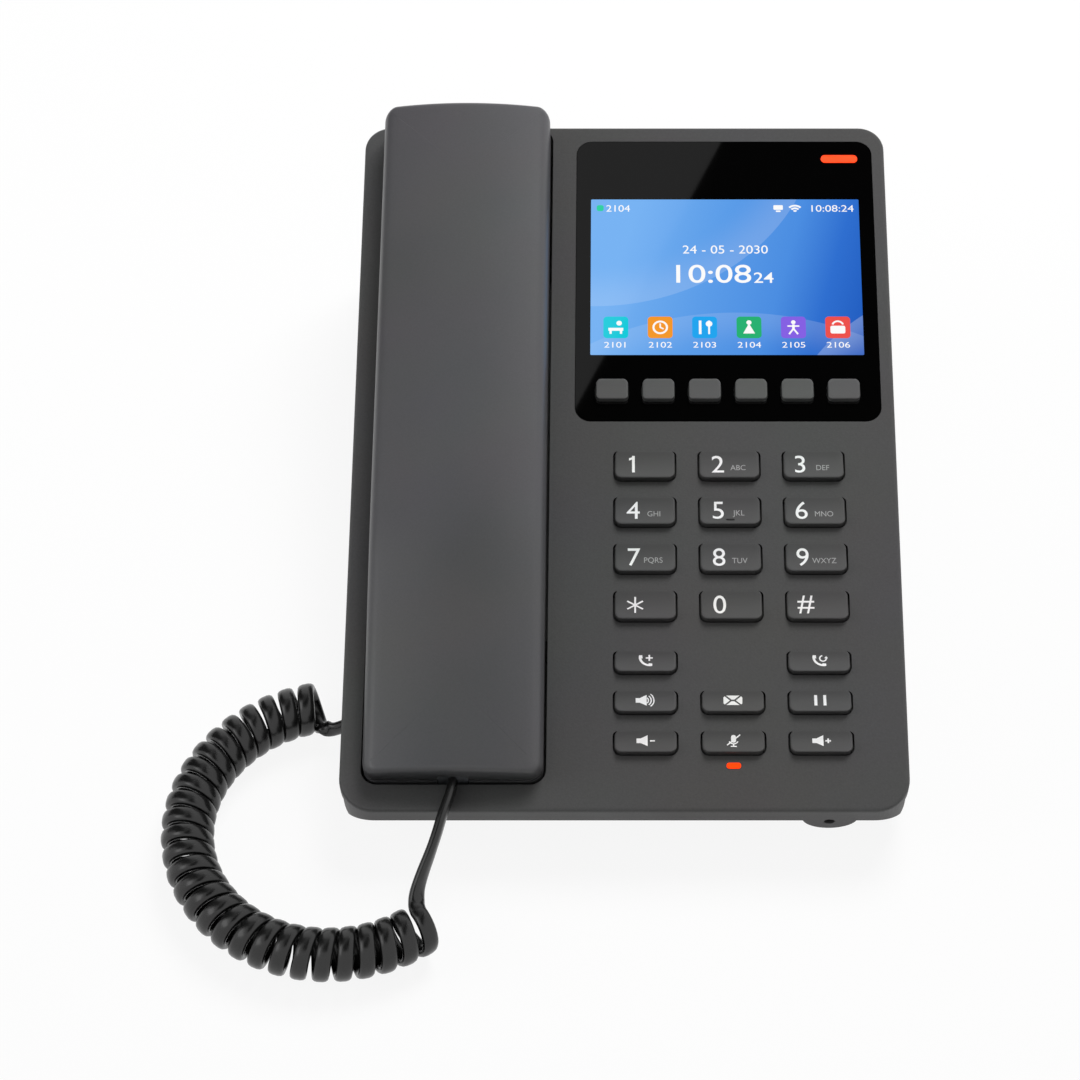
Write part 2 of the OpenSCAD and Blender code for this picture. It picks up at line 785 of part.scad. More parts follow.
module lcd_module() {
  color([0.2, 0.45, 0.9]) on_face() translate([window_u, window_v + lcd_v, 0])
    slab(lcd_w + 2 * lcd_edge, lcd_l + 5.6, 1, -window_t - gasket_t - lcd_t, -window_t - gasket_t);
}

module message_light() {
  color(light_red) on_face() translate([message_u, message_v, 0]) {
    slab(light_w, light_l, light_l / 2 - 0.05, -window_t - 0.8, 0.15);
    slab(light_w + 2, light_l + 2, 1, -window_t - 2.2, -window_t - 0.05);
  }
}

module mute_light() {
  color(light_red) on_face() translate([window_u, mute_light_v, 0]) {
    slab(mute_light_w, mute_light_l, mute_light_l / 2 - 0.05, -face_t - 0.5, 0.2);
    slab(mute_light_w + 1.4, mute_light_l + 1, 0.8, -board_top, -face_t - 0.05);
  }
}

// ---- Keypad ----

keypad_low = mute_light_v - 2;
keypad_high = window_v + soft_v + 6;
keypad_left = screw_left_u + boss_d / 2 + 0.8;
keypad_right = body_w / 2 - face_t - 2;

module keypad_plate(more, low, high) {
  translate([keypad_left - more, keypad_low - more, low])
    cube([keypad_right - keypad_left + 2 * more, keypad_high - keypad_low + 2 * more, high - low]);
}

// Holes in the mat and the board for the two case bosses beside the keys
module boss_holes() {
  upright_at_screws() cylinder(d = boss_d + 1.4, h = 60);
}

module keypad_mat() {
  color([0.75, 0.75, 0.75]) on_face() difference() {
    union() {
      keypad_plate(-1, -board_top, -board_top + mat_t);
      at_each(concat(digit_places, func_places))
        translate([0, 0, -board_top]) cylinder(d = ring_d, h = board_top - rim_top - rim_t - key_travel - 0.1);
      at_each(soft_places)
        translate([0, 0, -board_top]) cylinder(d = ring_d, h = board_top - soft_rim_top - rim_t - key_travel - 0.1);
    }
    at_each(concat(digit_places, func_places, soft_places))
      translate([0, 0, -board_top - past]) cylinder(d = ring_bore, h = board_top + past);
    boss_holes();
    at_each(keypad_post_places) translate([0, 0, -huge / 2]) cylinder(d = keypad_post_d + 0.8, h = huge);
    translate([window_u, mute_light_v, 0]) slab(mute_light_w + 2, mute_light_l + 1.6, 0.8, -board_top - past, 0);
  }
}

module keypad_board() {
  color(board_green) on_face() difference() {
    keypad_plate(0, -board_top - keypad_board_t, -board_top);
    boss_holes();
    at_each(keypad_post_places) translate([0, 0, -huge / 2]) cylinder(d = 1.7, h = huge);
  }
}

// A key: a cap whose scooped top starts level with the face and rises to its lower edge, the rim
// that holds it in and the post that presses the contact
module key(w, l, rise, drop, rim_z) {
  reach = l - scoop_land;
  scoop_r = (reach * reach + drop * drop) / (2 * drop);
  difference() {
    translate([0, 0, -rim_z]) linear_extrude(rim_z + rise) key_outline(w, l, 0);
    translate([w, l / 2, rise - drop + scoop_r]) rotate([0, -90, 0]) cylinder(r = scoop_r, h = 2 * w);
  }
  translate([0, 0, -rim_z - rim_t]) linear_extrude(rim_t)
    key_outline(w + 2 * key_rim, l + 2 * key_rim, key_rim);
  translate([0, 0, -post_end]) cylinder(d = post_d, h = post_end - rim_z);
}

module digit_key(col, row) {
  color(charcoal) on_face() at_each([digit_place(col, row)]) key(key_w, digit_l, key_rise, key_drop, rim_top);
}

module func_key(col, row) {
  color(charcoal) on_face() at_each([func_place(col, row)]) key(key_w, func_l, key_rise, key_drop, rim_top);
}

module soft_key(i) {
  color([0.33, 0.33, 0.34]) on_face() at_each([soft_place(i)])
    key(soft_w, soft_l, soft_rise, soft_drop, soft_rim_top);
}

// ---- Inside the base ----

module main_board() {
  color(board_green) difference() {
    translate([0, 0, main_z]) union() {
      translate([main_left, main_front, 0]) cube([main_right - main_left, main_back - main_front, main_t]);
      translate([-main_right, wing_front, 0]) cube([main_right + main_left + past, main_back - wing_front, main_t]);
    }
    for (place = screw_places) {
      translate([place[0], face_y + place[1] * cos(tilt), 0]) cylinder(d = boss_d + 2.4, h = huge);
    }
    for (place = main_screws) {
      translate([place[0], place[1], 0]) cylinder(d = board_hole_d, h = huge);
    }
  }
}

module board_screws() {
  color(steel) for (place = main_screws) {
    translate([place[0], place[1], main_z + main_t]) {
      cylinder(d = board_head_d, h = board_head_t);
      translate([0, 0, -main_t - 3]) cylinder(d = board_screw_d, h = main_t + 3 + board_head_t / 2);
    }
  }
  color(steel) on_face() at_each(keypad_post_places) translate([0, 0, -board_top - keypad_board_t]) {
    translate([0, 0, -1.2]) cylinder(d = 3, h = 1.2);
    cylinder(d = 1.4, h = keypad_board_t + 3);
  }
}

module case_screws() {
  color(steel) for (place = screw_places) {
    translate([place[0], face_y + place[1] * cos(tilt), floor_z + 2.6 - screw_head_t]) {
      difference() {
        cylinder(d = screw_head_d, h = screw_head_t);
        translate([0, 0, -past]) cube([0.9, 3.2, 2 * past + 0.6], center = true);
        translate([0, 0, -past]) cube([3.2, 0.9, 2 * past + 0.6], center = true);
      }
      translate([0, 0, screw_head_t - 0.2]) cylinder(d = screw_shank, h = boss_seat_z - floor_z + 4);
    }
  }
}

module speaker() {
  frame_r = speaker_r - 2.4;
  magnet_r = speaker_r * 0.57;
  dome_r = speaker_r * 0.36;
  color([0.15, 0.15, 0.16]) translate([speaker_x, speaker_y, floor_z + wall]) rotate_extrude() polygon([
    [0, speaker_t / 6], [dome_r, speaker_t / 5.5], [frame_r - 1, 1], [frame_r, 0], [speaker_r, 0],
    [speaker_r, speaker_t / 4], [speaker_r - 6, speaker_t / 2.2], [magnet_r, speaker_t / 1.9],
    [magnet_r, speaker_t], [0, speaker_t]]);
}

module microphone_boot() {
  color(rubber_black) on_face() translate([mic_u, 0, mic_hole_w]) difference() {
    translate([0, mic_end - 0.6, 0]) rotate([90, 0, 0]) cylinder(r = boot_r, h = mic_end - 0.7 - boot_front);
    translate([0, mic_end, 0]) rotate([90, 0, 0]) cylinder(r = boot_r - 0.5, h = mic_end - 4.4);
    translate([0, 3 * boot_front, 0]) rotate([90, 0, 0]) cylinder(d = 1.6, h = 3 * boot_front);
  }
}

module base_microphone() {
  color(steel) on_face() translate([mic_u, mic_end - 2, mic_hole_w]) rotate([90, 0, 0])
    cylinder(r = boot_r - 0.5, h = capsule_t);
}

module hook_switch() {
  color([0.12, 0.12, 0.13]) translate([handset_u, face_y, main_z + main_t]) {
    low_y = hook_v * cos(tilt) - hook_low * sin(tilt);
    translate([-6, low_y - 4, 0]) cube([12, 8, 4.6]);
    translate([0, low_y, 0]) cylinder(d = 3.4, h = 6);
  }
}

module hook_plunger() {
  color(charcoal) on_face() translate([handset_u, hook_v, 0]) {
    slab(hook_head_w, hook_head_l, 1, -ear_d - hook_head_t - 0.3, -ear_d - 0.3);
    translate([0, 0, hook_low]) cylinder(d = hook_rod_d, h = -hook_low - ear_d - 1);
  }
}

// A network jack with its socket and latch slot facing the back
module net_jack(i) {
  color([0.75, 0.76, 0.78]) translate([net_u - i * net_pitch, rear_y, main_z + main_t]) difference() {
    translate([-net_w / 2, -net_l, 0]) cube([net_w, net_l, net_h]);
    translate([-socket_w / 2, -socket_l, socket_low]) cube([socket_w, socket_l + past, socket_h]);
    translate([-latch_w / 2, -socket_l, socket_low]) cube([latch_w, socket_l + past, net_h - 1.7 - socket_low]);
  }
}

module power_jack() {
  color(rubber_black) translate([power_u, rear_y, main_z + main_t + power_h / 2]) {
    difference() {
      translate([-power_w / 2, -power_l, -power_h / 2]) cube([power_w, power_l, power_h]);
      translate([0, past, 0]) rotate([90, 0, 0]) cylinder(d = power_d, h = 10 + past);
    }
    translate([0, -past, 0]) rotate([90, 0, 0]) cylinder(d = 2, h = 10);
  }
}

module base_cord_jack() {
  jack_h = 8.6;
  color(rubber_black) difference() {
    translate([notch_x + wall, notch_y - cord_jack_w / 2, floor_z + wall]) cube([cord_jack_l, cord_jack_w, jack_h]);
    translate([notch_x, notch_y - plug_w / 2 - plug_gap, base_plug_z - plug_h / 2 - plug_gap])
      cube([plug_l, plug_w + 2 * plug_gap, plug_h + 2 * plug_gap]);
  }
}

module rubber_feet() {
  color(rubber_black) foot_places() union() {
    cylinder(d1 = foot_d - 1.2, d2 = foot_d, h = 0.6);
    translate([0, 0, 0.6]) cylinder(d = foot_d, h = floor_z + foot_recess - 0.6);
  }
}

// ---- Handset ----

module above_parting(up) {
  low = up ? parting_h : parting_h - huge;
  translate([-huge / 2, -huge / 2, low]) cube([huge, huge, huge]);
}

// The socket for the handset's plug, open at the mouth end
module handset_socket() {
  translate([handset_u - plug_w / 2 - plug_gap, handset_front - past, handset_plug_w - plug_h / 2 - plug_gap])
    cube([plug_w + 2 * plug_gap, plug_l + plug_gap + past, plug_h + 2 * plug_gap]);
}

module handset_back() {
  color(handset_grey) on_face() difference() {
    union() {
      intersection() {
        difference() {
          handset_form(0);
          handset_form(shell_t);
        }
        above_parting(true);
      }
      intersection() {
        handset_form(shell_t / 2);
        for (v = handset_screw_v) {
          translate([handset_u, v, -grip_d + shell_t + 0.1]) cylinder(d = 5.6, h = 30);
        }
      }
    }
    handset_socket();
    for (v = handset_screw_v) {
      translate([handset_u, v, -grip_d]) cylinder(d = 2, h = 10);
    }
  }
}

module handset_front() {
  color(charcoal) on_face() difference() {
    intersection() {
      difference() {
        handset_form(0);
        handset_form(shell_t);
      }
      above_parting(false);
    }
    handset_socket();
    for (v = handset_screw_v) {
      translate([handset_u, v, -grip_d - past]) {
        cylinder(d = 2.4, h = 10);
        cylinder(d = 4.2, h = past + 1);
      }
    }
    // Sound holes of the ear cup and the mouth cup
    translate([handset_u, ear_v, -ear_d - past]) {
      for (ring = [1:2]) {
        for (i = [0:ring * 6 - 1]) {
          rotate(i * 60 / ring) translate([ring * 4, 0, 0]) cylinder(d = 1.8, h = shell_t + 2 * past);
        }
      }
      cylinder(d = 1.8, h = shell_t + 2 * past);
    }
    for (i = [-1:1]) {
      translate([handset_u + i * 4, mouth_v, -mouth_d - past]) cylinder(d = 1.6, h = shell_t + 2 * past);
    }
  }
}

module earpiece() {
  r = (ear_l - ear_lean) / 2 - 1;
  t = ear_d - 4.1;
  color([0.15, 0.15, 0.16]) on_face() translate([handset_u, ear_v, -ear_d + shell_t]) rotate_extrude()
    polygon([[0, t / 10], [r - 5, t / 10], [r - 4, 0], [r, 0], [r, t / 2], [r - 2.5, t * 0.8], [r / 2, t], [0, t]]);
}

module handset_microphone() {
  color(steel) on_face() translate([handset_u, mouth_v, -mouth_d + shell_t])
    cylinder(d = mouth_l * 0.27, h = mouth_d * 0.6);
}

module handset_weight() {
  low = -grip_d + shell_t;
  screw_room = 12;
  color(steel) on_face() translate([handset_u, (handset_screw_v[0] + handset_screw_v[1]) / 2, 0])
    slab(handset_w / 2, handset_screw_v[1] - handset_screw_v[0] - 2 * screw_room, 2, low, low + 6);
}

module handset_cord_jack() {
  jack_high = 5;
  nose_low = 3;
  nose_v = handset_front + shell_t + 0.9;
  body_v = handset_front + mouth_lean + shell_t;
  color(rubber_black) on_face() difference() {
    translate([handset_u - cord_jack_w / 2, 0, 0]) union() {
      translate([0, nose_v, -nose_low]) cube([cord_jack_w, cord_jack_l, nose_low + jack_high]);
      translate([0, body_v, -mouth_d + shell_t]) cube([cord_jack_w, cord_jack_l - 2, mouth_d - shell_t + jack_high]);
    }
    handset_socket();
  }
}

module handset_screws() {
  color(steel) on_face() for (v = handset_screw_v) {
    translate([handset_u, v, -grip_d + 0.1]) {
      cylinder(d = 3.8, h = 0.9);
      cylinder(d = 1.8, h = 8);
    }
  }
}

// ---- Cord ----

// Points of a smooth curve through a list of points
function spline_point(a, b, c, d, t) = 0.5 * ((2 * b) + (c - a) * t
  + (2 * a - 5 * b + 4 * c - d) * t * t + (3 * b - a - 3 * c + d) * t * t * t);
function smooth(points, parts) = let (n = len(points)) [
  for (i = [0:n - 2]) for (k = [0:parts - 1])
    spline_point(points[max(i - 1, 0)], points[i], points[i + 1], points[min(i + 2, n - 1)], k / parts),
  points[n - 1]];

function unit(v) = v / norm(v);
function heading(path, i) = unit(path[min(i + 1, len(path) - 1)] - path[max(i - 1, 0)]);
// A steady sideways direction along the path, so the tube doesn't twist
function sideways(path, i) = unit(cross(heading(path, i), abs(heading(path, i)[2]) > 0.95 ? [0, 1, 0] : [0, 0, 1]));

// A tube swept along a path as one polyhedron, with closed ends
module tube(path, d, sides) {
  n = len(path);
  points = [for (i = [0:n - 1]) let (side = sideways(path, i), over = cross(side, heading(path, i)))
    for (k = [0:sides - 1]) path[i] + d / 2 * (cos(k * 360 / sides) * side + sin(k * 360 / sides) * over)];
  walls = [for (i = [0:n - 2]) for (k = [0:sides - 1]) let (next = (k + 1) % sides)
    [i * sides + k, i * sides + next, (i + 1) * sides + next, (i + 1) * sides + k]];
  start_cap = [[for (k = [sides - 1:-1:0]) k]];
  end_cap = [[for (k = [0:sides - 1]) (n - 1) * sides + k]];
  polyhedron(points, concat(walls, start_cap, end_cap), convexity = 6);
}

function on_arc(angle) = [coil_centre[0] + coil_arc_r * cos(angle), coil_centre[1] + coil_arc_r * sin(angle), coil_z];
coil_steps = 20;
coil_path = [for (i = [0:coil_steps]) on_arc(coil_from - coil_sweep * i / coil_steps)];

module handset_plug() {
  color([0.2, 0.2, 0.21]) on_face() translate([handset_u - plug_w / 2, handset_front, handset_plug_w - plug_h / 2])
    cube([plug_w, plug_l, plug_h]);
}

module handset_lead() {
  color(rubber_black) tube(smooth(handset_lead_path, 2), lead_d, 8);
}

module cord_coil() {
  color(rubber_black) tube(coil_path, coil_d, 12);
}

module base_lead() {
  color(rubber_black) tube(smooth(base_lead_path, 2), lead_d, 8);
}

module base_plug() {
  color([0.2, 0.2, 0.21]) translate([notch_x + wall - 3, notch_y - plug_w / 2, base_plug_z - plug_h / 2])
    cube([plug_l, plug_w, plug_h]);
}

// ---- One module for each key, so that each is a piece of its own ----

module soft_key_1() { soft_key(0); }
module soft_key_2() { soft_key(1); }
module soft_key_3() { soft_key(2); }
module soft_key_4() { soft_key(3); }
module soft_key_5() { soft_key(4); }
module soft_key_6() { soft_key(5); }
module digit_1_key() { digit_key(0, 0); }
module digit_2_key() { digit_key(1, 0); }
module digit_3_key() { digit_key(2, 0); }
module digit_4_key() { digit_key(0, 1); }
module digit_5_key() { digit_key(1, 1); }
module digit_6_key() { digit_key(2, 1); }
module digit_7_key() { digit_key(0, 2); }
module digit_8_key() { digit_key(1, 2); }
module digit_9_key() { digit_key(2, 2); }
module star_key() { digit_key(0, 3); }
module digit_0_key() { digit_key(1, 3); }
module hash_key() { digit_key(2, 3); }
module flash_key() { func_key(0, 0); }
module redial_key() { func_key(2, 0); }
module speaker_key() { func_key(0, 1); }
module message_key() { func_key(1, 1); }
module hold_key() { func_key(2, 1); }
module volume_down_key() { func_key(0, 2); }
module mute_key() { func_key(1, 2); }
module volume_up_key() { func_key(2, 2); }

top_case();
bottom_case();
display_window();
display_gasket();
lcd_module();
message_light();
mute_light();
keypad_mat();
keypad_board();
main_board();
board_screws();
speaker();
microphone_boot();
base_microphone();
hook_switch();
hook_plunger();
net_jack(0);  // network_jack
net_jack(1);  // computer_jack
power_jack();
base_cord_jack();
rubber_feet();
case_screws();
handset_back();
handset_front();
earpiece();
handset_microphone();
handset_weight();
handset_cord_jack();
handset_screws();
handset_plug();
handset_lead();
cord_coil();
base_lead();
base_plug();
soft_key_1();
soft_key_2();
soft_key_3();
soft_key_4();
soft_key_5();
soft_key_6();
digit_1_key();
digit_2_key();
digit_3_key();
digit_4_key();
digit_5_key();
digit_6_key();
digit_7_key();
digit_8_key();
digit_9_key();
star_key();
digit_0_key();
hash_key();
flash_key();
redial_key();
speaker_key();
message_key();
hold_key();
volume_down_key();
mute_key();
volume_up_key();
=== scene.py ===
"""Desk IP phone: finished pieces, materials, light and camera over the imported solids.

Lengths are written in millimetres and turned to metres by MM. Most pieces are drawn in the frame
of the tilted face: u to the right, v up the face from its front edge, w out of the face.
"""
import math

import bmesh
import bpy
from mathutils import Matrix, Vector


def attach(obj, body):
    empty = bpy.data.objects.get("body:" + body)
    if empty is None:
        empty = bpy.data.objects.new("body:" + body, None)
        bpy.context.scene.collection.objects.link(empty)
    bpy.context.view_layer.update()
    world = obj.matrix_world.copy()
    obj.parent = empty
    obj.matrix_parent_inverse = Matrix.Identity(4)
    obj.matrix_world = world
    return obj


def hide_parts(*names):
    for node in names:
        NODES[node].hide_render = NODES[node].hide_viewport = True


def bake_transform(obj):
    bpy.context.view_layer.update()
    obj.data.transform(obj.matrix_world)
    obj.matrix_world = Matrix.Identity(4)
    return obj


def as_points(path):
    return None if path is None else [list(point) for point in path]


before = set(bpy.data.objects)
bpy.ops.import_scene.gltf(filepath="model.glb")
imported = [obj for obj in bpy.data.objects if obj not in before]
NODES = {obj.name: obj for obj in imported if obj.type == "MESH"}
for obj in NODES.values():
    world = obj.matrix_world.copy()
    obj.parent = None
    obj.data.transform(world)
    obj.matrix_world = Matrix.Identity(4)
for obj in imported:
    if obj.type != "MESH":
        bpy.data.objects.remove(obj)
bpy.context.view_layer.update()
MM = 0.001

# ---- The phone's measures, as the solids have them ----

TILT = math.radians(12)
FRONT_H = 18.0
BODY_L, LIP_H, REAR_SET_IN = 203.6, 3.9, 1.5
FACE_Y = -(BODY_L * math.cos(TILT) + LIP_H * math.sin(TILT)) / 2
REAR_Y = FACE_Y + BODY_L * math.cos(TILT) - REAR_SET_IN
WINDOW_U = 27.55
LCD_W, LCD_L, LCD_V = 73.4, 49.0, 155.4
HANDSET_U, HANDSET_W, HANDSET_L, HANDSET_FRONT = -43.05, 45.3, 194.4, 7.8
HANDSET_H, MOUTH_H, BEND_V, GRIP_D = 12.5, 6.5, 71.0, 3.3
PARTING_H = 1.0
COL_PITCH, DIGIT_V, DIGIT_PITCH, FUNC_V, FUNC_PITCH = 22.2, 97.2, 13.6, 40.5, 11.1
CAP_W, DIGIT_L, FUNC_L, KEY_RISE = 15.8, 8.4, 6.1, 2.0
SOFT_W, SOFT_L, SOFT_PITCH, SOFT_V, SOFT_RISE = 8.5, 5.9, 12.34, 119.65, 1.7
FACE_T, WINDOW_T, RIM_GAP, RIM_T, KEY_RIM = 2.0, 1.6, 0.15, 0.8, 0.7
POST_END, POST_D, POST_SIDES = 5.0, 5.0, 24

# ---- Finish of the keys and the handset ----

# How far the scooped tops fall from the lower edge to the upper edge, and their edges' rounding
KEY_DROP, SOFT_DROP, KEY_FILLET, SOFT_FILLET = 1.8, 0.15, 0.4, 0.3
KEY_RADII, SOFT_RADII = (2.0, 1.0), (1.1, 1.2)
# How much of that rounding is gone at the upper edge, and how deep the post stands in the rim
RUN_OUT, POST_SUNK = 0.85, 0.05
# How much closer than the solids' the upper edge of a key's cap comes to its opening, above this depth
CLOSER, CLOSER_DEPTH = 0.27, 0.9
# Rise of the handset's crown at the ear, how much flatter it is at the mouth, and the bend's softness
CROWN, FLATTER_MOUTH, BEND_SOFTNESS = 2.6, 0.7, 9.0
SIDE_SHOULDER, END_SHOULDER, BEND_TRIM, CROWN_TRIM = 3.0, 1.3, 0.4, 0.12
# Insets and heights of the handset's parting groove and of its lining, and its roof's thickness
GROOVE, LINING, ROOF_T = ((0.35, 0.05), (0.3, 0.35), (0.0, 0.4)), ((2.0, PARTING_H + 0.05), (2.2, 6.0)), 3.4
INK_LIFT, INK_EDGE = 0.02, 0.7

# ---- The cord's route: a lead, the curly part round an arc on the desk, a lead ----

HANDSET_LEAD = [(-43, -93.1, 21), (-43.3, -95.4, 20.9), (-44.2, -98.8, 20.6), (-45.4, -102.6, 20),
                (-46.7, -107.2, 18.6), (-48.3, -111.8, 16.7), (-49.9, -115.8, 14.8), (-51.1, -119.5, 13.1),
                (-51.4, -123, 12.2)]
BASE_LEAD = [(-75.6, -66.5, 5.8), (-72.8, -66, 6.5), (-69.6, -64.7, 7.2), (-66, -64, 7.6),
             (-60, -63.95, 7.6), (-57, -63.95, 7.6)]
COIL_CENTRE, COIL_ARC_R, COIL_FROM, COIL_TO = (-73.0, -97.5), 37.5, -52.0, -262.5
COIL_D, CORD_W, CORD_T, COIL_TURNS = 13.5, 4.2, 2.5, 28
COIL_LIFT, COIL_START_PHASE, COIL_END_TURN, STEPS_PER_TURN = 0.3, 105.0, 27.74, 30
# Turns over which the cord goes from lying flat to standing on edge, at its start and its end
TWIST_IN, TWIST_OUT = 0.9, 0.3
# Steps of the last turn that belong to the base's lead
LEAD_STEPS = 12
LEAD_PARTS, CORD_SIDES, CORD_POWERS = 6, 14, (0.72, 0.8)


def on_face(u, v, w):
    """A point of the face's frame, in metres."""
    return Vector((u, FACE_Y + v * math.cos(TILT) - w * math.sin(TILT),
                   FRONT_H + v * math.sin(TILT) + w * math.cos(TILT))) * MM


FACE_TURN = Matrix.Rotation(TILT, 4, "X")


# ---- Materials ----

def linear(hex_colour):
    """An sRGB hex colour as linear red, green, blue and alpha."""
    parts = [int(hex_colour[i:i + 2], 16) / 255 for i in (1, 3, 5)]
    return [p / 12.92 if p <= 0.04045 else ((p + 0.055) / 1.055) ** 2.4 for p in parts] + [1.0]


def shaded(hex_colour, share):
    """A colour made lighter or darker by a share of itself."""
    return [c * share for c in linear(hex_colour)[:3]] + [1.0]


def add_node(tree, kind, settings=None, links=None):
    """Adds one node, with its properties or socket values, and the sockets that feed it."""
    made = tree.nodes.new(kind)
    for name, value in (settings or {}).items():
        if isinstance(name, str) and hasattr(made, name):
            setattr(made, name, value)
        else:
            made.inputs[name].default_value = value
    for name, source in (links or {}).items():
        tree.links.new(source, made.inputs[name])
    return made


def empty_tree(owner):
    """The node tree of a material or a world, with nothing in it."""
    owner.use_nodes = True
    owner.node_tree.nodes.clear()
    return owner.node_tree


def start_material(name):
    """A material, its tree, its shader and its Object coordinates."""
    material = bpy.data.materials.new(name)
    tree = empty_tree(material)
    shader = add_node(tree, "ShaderNodeBsdfPrincipled")
    add_node(tree, "ShaderNodeOutputMaterial", links={"Surface": shader.outputs["BSDF"]})
    return material, tree, shader, add_node(tree, "ShaderNodeTexCoord").outputs["Object"]


def feed(tree, shader, given):
    """Sets the shader's sockets, each from a node's output or to a value."""
    for name, source in given.items():
        if isinstance(source, bpy.types.NodeSocket):
            tree.links.new(source, shader.inputs[name])
        else:
            shader.inputs[name].default_value = source


def noise(tree, place, settings):
    return add_node(tree, "ShaderNodeTexNoise", settings, {"Vector": place}).outputs


def mix(tree, factor, first, second, blend="MIX"):
    """Two colours mixed, each of them and the factor a value or a node's output."""
    made = add_node(tree, "ShaderNodeMix", {"data_type": "RGBA", "blend_type": blend})
    feed(tree, made, {0: factor, 6: first, 7: second})
    return made.outputs[2]


def ranged(tree, source, low, high, settings=None):
    """A value spread from low to high."""
    return add_node(tree, "ShaderNodeMapRange", {"To Min": low, "To Max": high, **(settings or {})},
                    {"Value": source}).outputs["Result"]


def maths(tree, operation, first, second):
    """One operation on a node's output and a second output or value."""
    made = add_node(tree, "ShaderNodeMath", {"operation": operation}, {0: first})
    feed(tree, made, {1: second})
    return made.outputs["Value"]


def bump(tree, height, strength, depth):
    return add_node(tree, "ShaderNodeBump", {"Strength": strength, "Distance": depth * MM},
                    {"Height": height}).outputs["Normal"]


def moulded_plastic(name, colour, roughness, grain_mm, grain_depth, spread, ior=1.5):
    """Injection-moulded plastic from a textured tool: fine speckle in tone and in height."""
    material, tree, shader, place = start_material(name)
    grain = noise(tree, place, {"Scale": 1 / (grain_mm * MM), "Detail": 3.0, "Roughness": 0.6})["Fac"]
    cloud = noise(tree, place, {"Scale": 28.0, "Detail": 2.0})
    speckle = mix(tree, grain, shaded(colour, 1 - spread), shaded(colour, 1 + spread))
    feed(tree, shader, {
        "Base Color": mix(tree, 0.12, speckle, cloud["Color"], "MULTIPLY"),
        "Roughness": ranged(tree, cloud["Fac"], roughness - 0.05, roughness + 0.05,
                            {"From Min": 0.3, "From Max": 0.7}),
        "Normal": bump(tree, grain, 0.6, grain_depth), "IOR": ior})
    return material


def lit_lens():
    """A lit lens of diffusing polycarbonate: an even glow, mottled slightly."""
    material, tree, shader, place = start_material("lens_lit_polycarbonate")
    cloud = noise(tree, place, {"Scale": 400.0, "Detail": 1.0})["Fac"]
    tone = mix(tree, cloud, shaded("#FF3A00", 0.88), linear("#FF3A00"))
    feed(tree, shader, {"Base Color": tone, "Emission Color": tone, "Emission Strength": 1.0, "Roughness": 0.3})
    return material


def metal(name, colour, roughness, line_mm):
    """Plated or turned steel: fine drawn lines that stretch the highlights."""
    material, tree, shader, place = start_material(name)
    stretched = add_node(tree, "ShaderNodeMapping", {"Scale": (1.0, 0.08, 1.0)}, {"Vector": place})
    lines = noise(tree, stretched.outputs["Vector"], {"Scale": 1 / (line_mm * MM), "Detail": 2.0})["Fac"]
    feed(tree, shader, {"Base Color": linear(colour), "Metallic": 1.0,
                        "Roughness": ranged(tree, lines, roughness - 0.08, roughness + 0.08),
                        "Normal": bump(tree, lines, 0.2, 0.02)})
    return material


# Wide soft arcs on the display's blue: each circle's middle, its radius, the band's width and its gain
WAVES = (((-8, 208), 62, 14, 0.16), ((98, 96), 58, 10, 0.2), ((30, 60), 84, 12, 0.12))
BLUES = ((0.0, "#74B2F4"), (0.35, "#5C9EEB"), (0.62, "#4C8FE4"), (0.8, "#2F70D2"), (1.0, "#1E5ABF"))


def lit_wallpaper():
    """A colour display seen through its cover: blue wallpaper that glows, under a glossy front."""
    material, tree, shader, place = start_material("display_lit_panel")
    turned = add_node(tree, "ShaderNodeMapping",
                      {"vector_type": "TEXTURE", "Location": (0, FACE_Y * MM, FRONT_H * MM),
                       "Rotation": (TILT, 0, 0)}, {"Vector": place})
    face = add_node(tree, "ShaderNodeSeparateXYZ", links={"Vector": turned.outputs["Vector"]})
    left, low = (WINDOW_U - LCD_W / 2) * MM, (LCD_V - LCD_L / 2) * MM
    across = ranged(tree, face.outputs["X"], 0.0, 1.0, {"From Min": left, "From Max": left + LCD_W * MM})
    upward = ranged(tree, face.outputs["Y"], 0.0, 1.0, {"From Min": low, "From Max": low + LCD_L * MM})
    # Light at the left, deepening to the right edge
    slide = add_node(tree, "ShaderNodeMath", {"operation": "MULTIPLY_ADD", 1: -0.18}, {0: upward, 2: across})
    ramp = add_node(tree, "ShaderNodeValToRGB", links={"Fac": slide.outputs["Value"]})
    for position, _ in BLUES[1:-1]:
        ramp.color_ramp.elements.new(position)
    for element, (position, colour) in zip(ramp.color_ramp.elements, BLUES):
        element.position = position
        element.color = linear(colour)
    colour = ramp.outputs["Color"]
    point = add_node(tree, "ShaderNodeCombineXYZ", links={"X": face.outputs["X"], "Y": face.outputs["Y"]})
    for centre, radius, width, gain in WAVES:
        reach = add_node(tree, "ShaderNodeVectorMath",
                         {"operation": "DISTANCE", 1: (centre[0] * MM, centre[1] * MM, 0)},
                         {0: point.outputs["Vector"]}).outputs["Value"]
        edge = ranged(tree, reach, 0.0, gain, {"From Min": (radius - width) * MM, "From Max": radius * MM,
                                               "interpolation_type": "SMOOTHSTEP"})
        share = maths(tree, "MULTIPLY", edge, maths(tree, "LESS_THAN", reach, radius * MM))
        colour = mix(tree, share, colour, linear("#CFE6FF"))
    feed(tree, shader, {"Emission Color": colour, "Emission Strength": 0.97, "Base Color": linear("#020306"),
                        "Roughness": 0.04})
    return material


